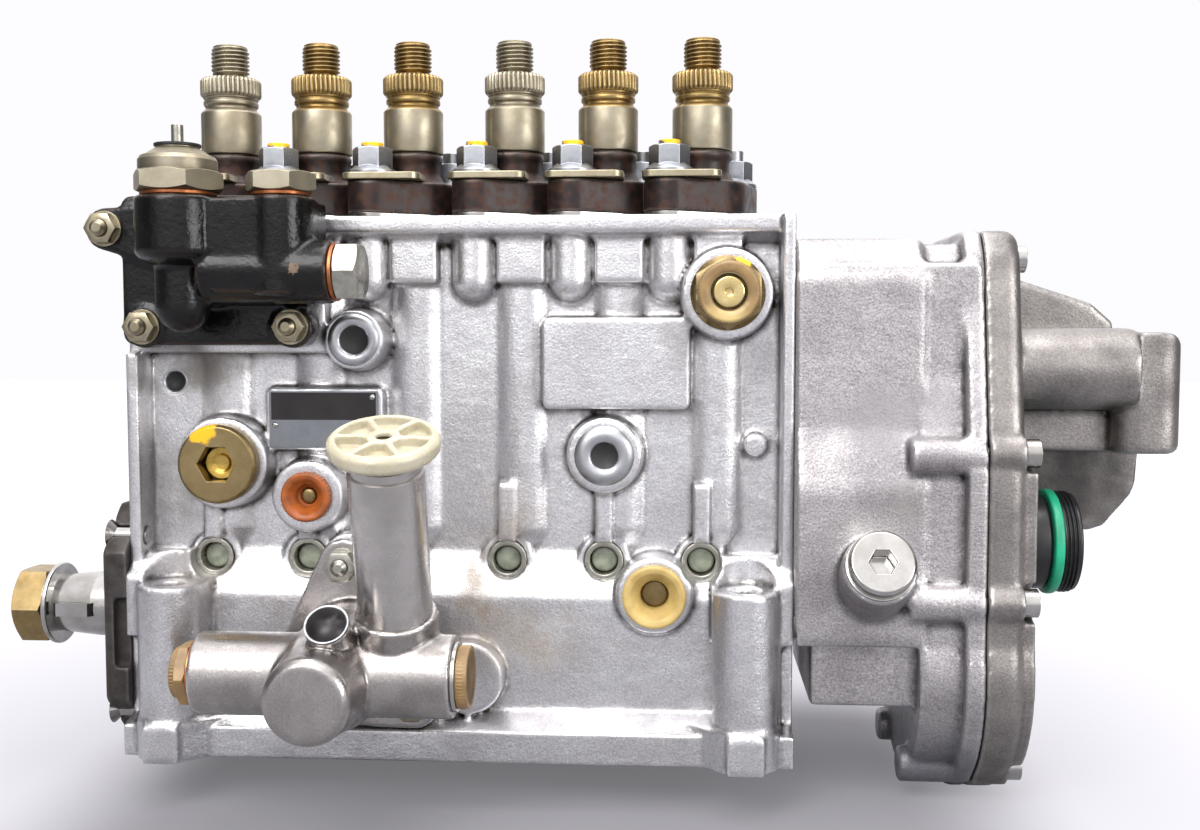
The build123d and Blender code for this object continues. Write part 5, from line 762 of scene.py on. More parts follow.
@dataclass
class Skin:
    """A casting's outer skin: the node's form with every corner blended, as a foundry pattern leaves it.

    Attributes:
        node: The CAD node.
        voxel: Grid of the blending, in millimetres.
        passes: Smoothing passes; more give larger blends.
        keep: Share of the faces that stay after flat areas are thinned.
        fill: Boxes (low, high) in millimetres that close hidden hollows first.
        corners: Square corners, seen along Y, that are pulled onto an arc: centre, sides and radius.
    """

    node: str
    voxel: float = 1.0
    passes: int = 5
    keep: float = 1.0
    fill: tuple[tuple[Vec, Vec], ...] = ()
    corners: tuple[tuple[Pair, tuple[int, int], float], ...] = ()

    def build(self) -> Piece:
        """Make the skin.

        Returns:
            The new object.
        """
        skin = merged_copy(self.node, f"{self.node}_skin")
        self._close_hollows(skin)
        remesh = skin.modifiers.new("blend", "REMESH")
        remesh.mode = "VOXEL"
        remesh.voxel_size = self.voxel * MM
        remesh.use_smooth_shade = True
        smooth = skin.modifiers.new("smooth", "SMOOTH")
        smooth.factor = 0.5
        smooth.iterations = self.passes
        if self.keep < 1.0:
            thin = skin.modifiers.new("thin", "DECIMATE")
            thin.ratio = self.keep
        bake_modifiers(skin)
        skin.data.polygons.foreach_set("use_smooth", np.ones(len(skin.data.polygons), bool))
        for centre, sides, radius in self.corners:
            round_corner(skin, centre, sides, radius)
        return skin

    def _close_hollows(self, skin: Piece) -> None:
        """Join boxes to the mesh, so that the blending leaves out what nothing shows."""
        with editing(skin.data) as work:
            for low, high in self.fill:
                add_box(work, low, high)


def round_corner(piece: Piece, centre: Pair, signs: tuple[int, int], radius: float) -> None:
    """Pull a square corner, seen along Y, onto an arc.

    Args:
        piece: The piece.
        centre: X and Z of the arc's centre in millimetres.
        signs: Sides of the centre on which the corner lies, along X and Z.
        radius: Radius of the arc in millimetres.
    """
    flat = np.empty(3 * len(piece.data.vertices), np.float32)
    piece.data.vertices.foreach_get("co", flat)
    points = flat.reshape(-1, 3)
    off = (points[:, [0, 2]] - np.array(centre) * MM) * np.array(signs)
    length = np.hypot(off[:, 0], off[:, 1])
    outside = (off > 0).all(axis=1) & (length > radius * MM)
    scale = radius * MM / length[outside]
    points[outside, 0] = centre[0] * MM + signs[0] * off[outside, 0] * scale
    points[outside, 2] = centre[1] * MM + signs[1] * off[outside, 1] * scale
    piece.data.vertices.foreach_set("co", points.ravel())
    piece.data.update()


def softened(node: str, width: float = 0.35, angle: float = 30.0) -> Piece:
    """A copy of a machined CAD node with narrow bevels on its sharp edges.

    Args:
        node: The CAD node.
        width: Bevel width in millimetres.
        angle: Edges sharper than this many degrees are bevelled.

    Returns:
        The new object.
    """
    made = merged_copy(node, f"{node}_dressed")
    with editing(made.data) as work:
        bmesh.ops.dissolve_limit(work, angle_limit=math.radians(1.0), verts=work.verts, edges=work.edges)
    made.data.polygons.foreach_set("use_smooth", np.ones(len(made.data.polygons), bool))
    bevel = made.modifiers.new("edge", "BEVEL")
    bevel.width = width * MM
    bevel.segments = 2
    bevel.limit_method = "ANGLE"
    bevel.angle_limit = math.radians(angle)
    bevel.harden_normals = True
    bake_modifiers(made)
    return made


def joined(name: str, pieces: Sequence[Piece]) -> Piece:
    """Join several meshes into one object.

    Args:
        name: The object's name.
        pieces: Objects that lie at the origin; they are used up.

    Returns:
        The joined object.
    """
    mesh = bpy.data.meshes.new(name)
    with editing(mesh) as work:
        for piece in pieces:
            work.from_mesh(piece.data)
            bpy.data.objects.remove(piece)
    return linked(name, mesh)


def slab(name: str, low: Vec, high: Vec, edge: float) -> Piece:
    """A box between two corners with broken edges, all in millimetres."""
    mesh = bpy.data.meshes.new(name)
    with editing(mesh) as work:
        add_box(work, low, high)
        bmesh.ops.bevel(work, geom=list(work.edges), offset=edge * MM, segments=2, affect="EDGES",
                        profile=0.5)
    return linked(name, mesh)


def front(x: float, face_y: float, z: float) -> Axis3:
    """An axis that points out of the front wall."""
    return Axis3((x, face_y, z), (0.0, -1.0, 0.0))


# ------------------------------------------------------------------ sub-assemblies
def dress(piece: Piece, material: Material, body: Body, slot: str, *nodes: str) -> None:
    """Finish a piece: give it its material and its body, and let it stand for its nodes.

    Args:
        piece: The piece.
        material: Its finish.
        body: The body it rides on.
        slot: Not used.
        *nodes: The CAD nodes that it replaces.
    """
    piece.data.materials.clear()
    piece.data.materials.append(material)
    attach(piece, body.value)
    if nodes:
        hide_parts(*nodes)
    LOG.info("%s: %d faces on %s", piece.name, len(piece.data.polygons), body.value)


@dataclass
class Workshop:
    """The finishes as materials, made once each.

    Attributes:
        book: The finishes.
        made: The materials that exist already, by the finish's field name.
    """

    book: FinishBook = field(default_factory=FinishBook)
    made: dict[str, Material] = field(default_factory=dict)

    def get(self, name: str) -> Material:
        """The material of a finish by its field's name."""
        if name not in self.made:
            self.made[name] = getattr(self.book, name).build()
        return self.made[name]


@dataclass
class Castings:
    """The pump housing, governor, feed pump, shut-off block, drive end plate and barrel flanges.

    Attributes:
        shop: The materials.
        cavity: Boxes (low, high) that fill the pump housing's hidden inside.
        governor_cavity: The same for the governor housing.
        cover_corners: The cover's two outer corners, which are round.
    """

    shop: Workshop
    cavity: tuple[tuple[Vec, Vec], ...] = (((-106.0, -15.0, 10.0), (106.0, 15.0, 191.0)),
                                           ((-106.0, -26.5, 10.0), (106.0, 26.5, 52.0)),
                                           ((-99.0, -34.0, 2.0), (99.0, 34.0, 12.0)))
    governor_cavity: tuple[tuple[Vec, Vec], ...] = (((125.0, -36.0, 20.0), (182.0, 36.0, 175.0)),)
    cover_corners: tuple[tuple[Pair, tuple[int, int], float], ...] = (
        ((248.5, 143.0), (1, 1), 8.0), ((250.5, 114.0), (1, -1), 6.0))

    def build(self) -> None:
        """Blend and dress every casting."""
        pieces = (
            (Skin("pump_housing", 0.9, 4, 0.42, self.cavity), "housing", "cast_aluminium"),
            (Skin("governor_housing", 1.2, 5, 0.6, self.governor_cavity), "governor", "grey_cast_aluminium"),
            (Skin("governor_cover", 1.1, 5, 0.6, corners=self.cover_corners), "cover", "grey_cast_aluminium"),
            (Skin("feed_pump_body", 0.8, 6), "feed", "cast_aluminium"),
            (Skin("shutoff_block", 0.8, 6), "black", "black_paint"),
            (Skin("drive_flange", 1.0, 4), "iron", "cast_iron"),
            (Skin("barrel_flanges", 0.8, 3), "phosphate", "dark_phosphate"),
        )
        for skin, finish, slot in pieces:
            dress(skin.build(), self.shop.get(finish), Body.PUMP, slot, skin.node)
        knob = Skin("primer_knob", 0.45, 12).build()
        dress(knob, self.shop.get("ivory"), Body.KNOB, "ivory_plastic", "primer_knob")


@dataclass
class MachinedParts:
    """Nuts, studs, plugs and washers that keep the CAD form with broken edges.

    Attributes:
        shop: The materials.
        others: Node, finish and box of the solids that differ from the rest of their node.
    """

    shop: Workshop
    others: tuple[tuple[str, str, Vec, Vec], ...] = (
        ("copper_washers", "polished", (120.0, -80.0, 50.0), (160.0, -40.0, 90.0)),
        ("copper_washers", "polished", (0.0, -90.0, 20.0), (12.0, -60.0, 60.0)),
        ("stud_nuts", "silver_zinc", (-50.0, -70.0, 60.0), (-26.0, -30.0, 80.0)),
        ("shutoff_solenoid", "rubber", (-98.0, -68.0, 212.8), (-81.0, -48.0, 215.4)),
        ("shutoff_solenoid", "silver_zinc", (-98.0, -68.0, 215.4), (-81.0, -48.0, 222.0)),
        ("shutoff_plugs", "silver_zinc", (-40.0, -70.0, 155.0), (-20.0, -40.0, 185.0)))

    def build(self) -> None:
        """Bevel and dress every machined piece."""
        pieces = (
            ("flange_nuts", "marked_zinc", "silver_zinc", Body.PUMP),
            ("flange_studs", "marked_zinc", "silver_zinc", Body.PUMP),
            ("flange_saddles", "yellow_zinc", "gold_zinc", Body.PUMP),
            ("flange_shims", "polished", "bright_steel", Body.PUMP),
            ("stud_nuts", "yellow_zinc", "gold_zinc", Body.PUMP),
            ("gallery_plug", "bronze", "bronze", Body.PUMP),
            ("overflow_valve", "hex_brass", "gold_zinc", Body.PUMP),
            ("feed_pump_plugs", "aged_tan", "bronze", Body.PUMP),
            ("primer_barrel", "tube", "silver_zinc", Body.PUMP),
            ("shutoff_solenoid", "olive_gold", "olive_zinc", Body.PUMP),
            ("shutoff_plugs", "olive_gold", "black_paint", Body.PUMP),
            ("copper_washers", "copper", "copper", Body.PUMP),
            ("governor_plug", "polished", "silver_zinc", Body.PUMP),
            ("cover_screws", "polished", "bright_steel", Body.PUMP),
            ("drive_nut", "bronze_zinc", "gold_zinc", Body.CAMSHAFT),
            ("drive_washer", "polished", "bright_steel", Body.CAMSHAFT),
        )
        made = {}
        for node, finish, slot, body in pieces:
            made[node] = softened(node)
            dress(made[node], self.shop.get(finish), body, slot, node)
        for node, finish, low, high in self.others:
            second_finish(made[node], self.shop.get(finish), low, high)


@dataclass
class DeliveryHolders:
    """Six turned valve holders with the injection line's thread and a toothed collar, in millimetres.

    Attributes:
        shop: The materials.
        foot: Lowest height of a holder.
        foot_r: Radius of its foot.
        shoulder: Height at which its first step ends.
        body: Lowest and highest height of its middle.
        body_r: Radius of its middle.
        collar: Lowest and highest height of the toothed collar.
        collar_r: Radius of the collar.
        teeth: Number of the collar's teeth.
        thread_low: Height at which the thread begins.
        thread: Radii of the thread's root and crest.
        top: Highest height.
        bore: Radius of the fuel bore.
        collar_tones: Finish of each holder from its collar up.
    """

    shop: Workshop
    foot: float = 197.2
    foot_r: float = 7.8
    shoulder: float = 217.8
    body: Pair = (211.0, 233.4)
    body_r: float = 11.1
    collar: Pair = (239.4, 246.5)
    collar_r: float = 11.2
    teeth: int = 38
    thread_low: float = 248.3
    thread: Pair = (6.15, 7.0)
    top: float = 258.7
    bore: float = 1.6
    collar_tones: tuple[str, ...] = ("olive_gold", "bronze_zinc", "bronze_zinc",
                                     "olive_gold", "bronze_zinc", "bronze_zinc")

    def profile(self) -> np.ndarray:
        """The holder's outline from its foot to the bottom of its cone seat.

        Returns:
            (radius, height) points as an array of shape (n, 2).
        """
        low, high = self.collar
        waist, edge = self.body_r - 1.0, self.collar_r
        neck = self.thread[0] - 0.4
        body_low, body_high = self.body
        ends = [(self.foot_r, self.foot), (self.foot_r, body_low),
                (waist - 0.3, body_low), (waist - 0.3, self.shoulder),
                (self.body_r, self.shoulder + 0.1), (self.body_r, body_high),
                (waist, body_high + 1.0), (waist - 0.7, body_high + 1.5),
                (waist - 0.7, body_high + 2.6), (waist, body_high + 3.0),
                (waist, low - 1.6), (waist - 0.4, low - 1.3), (waist - 0.4, low - 0.9),
                (waist, low - 0.6), (waist, low), (edge - 0.9, low), (edge, low + 0.9),
                (edge, high - 0.9), (edge - 1.0, high), (neck, high), (neck, high + 1.4)]
        crest = [(self.thread[1], self.thread_low), (self.thread[1], self.top - 0.9),
                 (self.thread[0] - 0.2, self.top)]
        seat = [(2 * self.bore + 0.4, self.top), (2 * self.bore, self.top - 0.4),
                (self.bore, self.top - 3.0), (self.bore, self.top - 8.0), (0.0, self.top - 8.0)]
        return np.concatenate([rounded(ends, 0.4, 3), dense(crest, 0.16), rounded(seat, 0.2, 3)])

    def shape(self, radius: np.ndarray, angle: np.ndarray, height: np.ndarray) -> np.ndarray:
        """New radius of each point: the thread's wave above, the collar's valleys below."""
        thread = Thread(self.thread_low - 0.6, self.top - 0.3, *self.thread)
        teeth = Teeth(self.collar[0] + 0.2, self.collar[1] - 0.2, self.collar_r - 1.6, 0.8, self.teeth)
        return teeth.cut(thread.cut(radius, angle, height), angle, height)

    def build(self) -> None:
        """Turn and dress the six holders."""
        reach = 20.0
        for number, (x, tone) in enumerate(zip(ELEMENT_XS, self.collar_tones), start=1):
            node = f"delivery_holder_{number}"
            axis = Axis3((x, 0.0, 0.0))
            holder = turned(f"{node}_turned", axis, self.profile(), 6 * self.teeth, self.shape)
            dress(holder, self.shop.get("olive_gold"), Body.PUMP, "gold_zinc", node)
            second_finish(holder, self.shop.get(tone), (x - reach, -reach, self.body[1]),
                          (x + reach, reach, self.top))


@dataclass(frozen=True)
class Bore:
    """A drilled hole of the front wall, in millimetres.

    Attributes:
        place: The middle of its mouth.
        radius: Its radius.
        outer: Radius of the milled ring round its mouth.
        deep: Its depth.
    """

    place: Vec
    radius: float
    outer: float
    deep: float

    def lining(self) -> np.ndarray:
        """Outline of the milled ring, the countersink, the wall and the bottom."""
        wall = self.radius - 0.15
        return np.array([(self.outer, -1.0), (self.outer, 0.12), (self.radius + 0.7, 0.12), (wall, -0.8),
                         (wall, 0.6 - self.deep), (0.0, 0.8 - self.deep)])

    def tip(self) -> np.ndarray:
        """Outline of the rod's end that shows at the bottom."""
        outline = [(0.5 * self.radius, -self.deep), (0.5 * self.radius, 2.0 - self.deep),
                   (0.3 * self.radius, 2.8 - self.deep), (0.0, 3.2 - self.deep)]
        return rounded(outline, 0.5)

    def inside(self) -> tuple[Vec, Vec]:
        """Corners of the box that holds the wall behind the countersink, which takes the painted shade."""
        x, y, z = self.place
        return ((x - self.radius, y + 0.6, z - self.radius),
                (x + self.radius, y + self.deep, z + self.radius))


@dataclass(frozen=True)
class Turning:
    """One turned or moulded piece of a port, in millimetres.

    Attributes:
        name: Its name.
        axis: Where it stands.
        outline: (radius, height) points, from below the outside to above the inside.
        finish: Its finish's field in the book.
        slot: The record's material slot.
        nodes: The CAD nodes that it replaces.
        blend: Radius of its rounded corners, 0 for sharp ones.
        columns: Points round a plain ring.
        teeth: Teeth of a serrated rim, 0 for a plain one.
    """

    name: str
    axis: Axis3
    outline: Profile
    finish: str
    slot: str
    nodes: tuple[str, ...] = ()
    blend: float = 0.5
    columns: int = 48
    teeth: int = 0

    def build(self, shop: Workshop) -> None:
        """Turn and dress the piece."""
        outline = rounded(self.outline, self.blend) if self.blend else np.array(self.outline)
        rim, columns = None, self.columns
        if self.teeth:
            heights = [height for _radius, height in self.outline]
            widest = max(radius for radius, _height in self.outline)
            rim = Teeth(min(heights) + 0.2, max(heights) - 0.5, widest - 0.5, 0.28, self.teeth).cut
            columns = 4 * self.teeth
        made = turned(self.name, self.axis, outline, columns, rim)
        dress(made, shop.get(self.finish), Body.PUMP, self.slot, *self.nodes)


DRAIN = front(70.4, -35.0, 57.9)
RACK_PORT = front(-54.6, -33.0, 92.1)
OVERFLOW = front(95.5, -39.0, 164.5)
OUTLET = Axis3((6.4, -75.0, 38.8), (1.0, 0.0, 0.0), (0.0, 1.0, 0.0))
INLET = Axis3((-78.7, -75.0, 38.8), (-1.0, 0.0, 0.0), (0.0, 1.0, 0.0))
BOSS = Axis3((-31.5, -91.14, 59.14), (0.0, -math.sqrt(0.5), math.sqrt(0.5)))  # slants at 45 degrees


@dataclass
class Ports:
    """Guide rings, bored holes, transport caps and the bare badge, in millimetres.

    Attributes:
        shop: The materials.
        guide_z: Height of the row of guides.
        guide_y: Y of the wall at the guides.
        ring: Outline of a guide's ring.
        lens: Outline of the sealant in a guide.
        bores: The drilled holes.
        pieces: Seats, caps, cores and the badge.
    """

    shop: Workshop
    guide_z: float = 68.9
    guide_y: float = -25.7
    ring: Profile = ((7.0, -4.0), (7.0, 0.7), (5.4, 0.7), (5.1, 0.3), (5.1, -4.0))
    lens: Profile = ((4.7, -6.0), (4.7, -3.4), (4.1, -2.9), (0.0, -2.5))
    bores: tuple[Bore, ...] = (Bore((-36.2, -36.0, 148.3), 5.0, 9.2, 9.0),
                               Bore((52.6, -34.0, 107.5), 4.7, 10.6, 9.0),
                               Bore((-106.1, -23.5, 133.1), 3.6, 4.6, 6.0))
    pieces: tuple[Turning, ...] = (
        Turning("plug_seat", front(-85.5, -34.0, 104.1),
                ((5.7, -1.4), (5.7, -0.1), (3.7, -0.5), (2.6, -1.1), (0.0, -1.45)), "brass", "bronze",
                blend=0.2),
        Turning("drain_cap", DRAIN,
                ((7.9, -8.0), (7.9, 0.0), (11.4, 0.0), (11.4, 2.4), (10.4, 3.1), (8.6, 2.6), (5.3, -1.4),
                 (5.0, -3.2), (5.0, -8.0), (0.0, -8.0)), "tan", "tan_plastic", ("drain_port_cap",), teeth=58),
        Turning("drain_core", DRAIN, ((4.9, -7.9), (4.9, -5.6), (4.2, -5.2), (0.0, -5.0)), "bronze", "bronze",
                blend=0.3),
        Turning("orange_cap", RACK_PORT,
                ((6.9, -6.0), (6.9, 0.0), (9.1, 0.0), (9.1, 2.2), (8.2, 3.0), (6.6, 2.5), (4.4, -0.4),
                 (4.0, -2.0), (2.8, -3.0), (2.8, -7.0), (0.0, -7.0)), "orange", "orange_plastic",
                ("orange_port_cap",), teeth=40),
        Turning("orange_core", RACK_PORT, ((2.7, -6.9), (2.7, -2.2), (1.8, -1.8), (0.0, -1.7)), "bronze",
                "bronze", blend=0.4, columns=32),
        Turning("overflow_cap", OVERFLOW,
                ((10.0, 8.6), (10.5, 8.9), (10.5, 13.9), (9.7, 14.8), (7.8, 14.7), (6.7, 14.3), (6.3, 13.6),
                 (6.3, 10.0), (0.0, 10.0)), "aged_tan", "tan_plastic", teeth=56),
        Turning("overflow_disc", OVERFLOW,
                ((5.3, 12.5), (5.3, 13.6), (4.9, 13.9), (1.4, 13.9), (1.2, 13.4), (0.0, 13.4)), "pale_brass",
                "bronze", blend=0.25, columns=64),
        Turning("feed_cap", OUTLET, ((9.0, 1.6), (10.3, 1.7), (10.3, 4.4), (9.4, 5.3), (0.0, 5.3)),
                "aged_tan", "tan_plastic", teeth=54),
        Turning("inlet_cap", INLET, ((7.0, 5.3), (8.6, 5.5), (8.6, 7.3), (8.0, 7.8), (0.0, 7.8)),
                "aged_tan", "tan_plastic", teeth=46),
        Turning("badge", BOSS, ((7.1, -0.6), (7.1, 0.35), (6.6, 0.35), (6.5, 0.2), (0.0, 0.2)), "machined",
                "cast_aluminium", blend=0.1),
        Turning("badge_field", BOSS, ((6.4, 0.1), (6.4, 0.26), (0.0, 0.26)), "plate_black", "black_paint",
                blend=0.0))

    def build(self) -> None:
        """Make every ring, lining, cap and core."""
        self._row("guide_rings", rounded(self.ring, 0.35), "silver_zinc", "gold_zinc", "guide_bushes")
        self._row("guide_lenses", rounded(self.lens, 0.5), "sealant", "glassy_sealant", "guide_pins")
        self._bores()
        for piece in self.pieces:
            piece.build(self.shop)

    def _row(self, name: str, outline: np.ndarray, finish: str, slot: str, node: str) -> None:
        """Turn the same outline at each of the six guides and dress the row as one piece."""
        row = [turned("guide", front(x, self.guide_y, self.guide_z), outline, 48) for x in ELEMENT_XS]
        dress(joined(name, row), self.shop.get(finish), Body.PUMP, slot, node)

    def _bores(self) -> None:
        """Line the drilled holes: a bright mouth, a wall painted black as the shade within, and a bright tip
        inside.
        """
        liners, tips = [], []
        for bore in self.bores:
            axis = front(*bore.place)
            liners.append(turned("liner", axis, bore.lining(), 64))
            tips.append(turned("tip", axis, bore.tip(), 32))
        bored = joined("bored_holes", liners)
        dress(bored, self.shop.get("machined"), Body.PUMP, "cast_aluminium")
        # Painted shade: the walls inside the holes take the black matt finish.
        for bore in self.bores:
            second_finish(bored, self.shop.get("rubber"), *bore.inside())
        dress(joined("bored_tips", tips), self.shop.get("machined"), Body.PUMP, "cast_aluminium")


@dataclass
class NamePlate:
    """Riveted plate with a black upper field and a bare lower field, both left blank, in millimetres.

    Attributes:
        shop: The materials.
        low: Its lowest X and Z.
        high: Its highest X and Z.
        seat_y: Y of the wall behind it.
        thick: Its thickness.
        field_low: Lowest Z of the black field.
        margin: Width of the bare rim round the black field.
        rivets: X and Z of the two rivets.
        dome: Outline of a rivet's head.
    """

    shop: Workshop
    low: Pair = (-69.0, 109.4)
    high: Pair = (-29.0, 130.2)
    seat_y: float = -28.9
    thick: float = 0.9
    field_low: float = 119.5
    margin: float = 0.8
    rivets: tuple[Pair, ...] = ((-66.8, 117.7), (-31.2, 127.8))
    dome: Profile = ((1.1, 0.0), (1.1, 0.3), (0.5, 0.75), (0.0, 0.8))

    def build(self) -> None:
        """Make the plate, its black field and two rivets."""
        face = self.seat_y - self.thick
        left, right = self.low[0], self.high[0]
        plate = slab("name_plate", (left, face, self.low[1]), (right, self.seat_y, self.high[1]), 0.3)
        dress(plate, self.shop.get("plate"), Body.PUMP, "silver_zinc")
        black = slab("plate_field", (left + self.margin, face - 0.06, self.field_low),
                     (right - self.margin, face + 0.1, self.high[1] - self.margin), 0.03)
        dress(black, self.shop.get("plate_black"), Body.PUMP, "black_paint")
        dome = rounded(self.dome, 0.3)
        rivets = [turned("rivet", front(x, face - 0.05, z), dome, 24) for x, z in self.rivets]
        dress(joined("plate_rivets", rivets), self.shop.get("polished"), Body.PUMP, "bright_steel")


@dataclass
class Connector:
    """Threaded wiring connector and its sealing ring, in millimetres.

    Attributes:
        shop: The materials.
        place: Where its axis crosses X = 0.
        seat: Outline of its foot and flange; heights run along X.
        ring: Outline of the sealing ring.
        thread_low: X at which the thread begins.
        thread: Radii of the thread's root and crest.
        pitch: Pitch of the thread.
        floor: X of the bottom of its mouth.
        end: X of its free end.
    """

    shop: Workshop
    place: Vec = (0.0, -15.0, 75.9)
    seat: Profile = ((11.8, 196.0), (11.8, 201.2), (17.0, 201.4), (17.0, 208.4), (16.1, 209.2), (16.1, 213.0))
    ring: Profile = ((16.2, 209.5), (18.6, 209.5), (18.9, 211.2), (18.6, 212.9), (16.2, 212.9))
    thread_low: float = 213.6
    thread: Pair = (17.3, 18.2)
    pitch: float = 1.4
    floor: float = 211.3
    end: float = 219.3

    def build(self) -> None:
        """Turn the shell and the ring."""
        axis = Axis3(self.place, (1.0, 0.0, 0.0), (0.0, 1.0, 0.0))
        root, crest = self.thread
        end = self.end
        barrel = dense([(crest, self.thread_low), (crest, end - 0.8)], 0.15)
        mouth = [(17.4, end), (15.9, end), (15.4, end - 0.6), (15.3, self.floor), (2.0, self.floor),
                 (0.0, self.floor)]
        profile = np.concatenate([rounded(self.seat, 0.4, 3), barrel, rounded(mouth, 0.3, 3)])
        thread = Thread(self.thread_low - 0.8, end - 0.3, root, crest, self.pitch)
        shell = turned("connector_shell", axis, profile, 160, thread.cut)
        dress(shell, self.shop.get("black_plastic"), Body.PUMP, "black_plastic", "connector")
        ring = turned("connector_ring", axis, rounded(self.ring, 1.0, 6), 128)
        dress(ring, self.shop.get("green_rubber"), Body.PUMP, "green_rubber", "connector_oring")


def finish_inner_nodes(shop: Workshop) -> None:
    """Give the CAD nodes that stay their finishes."""
    finishes = {"shaft_seal": "rubber", "rack_armature": "iron", "actuator_coil": "copper"}
    for name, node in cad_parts.items():
        if node.hide_render:
            continue
        node.data.materials.clear()
        node.data.materials.append(shop.get(finishes.get(name, "polished")))


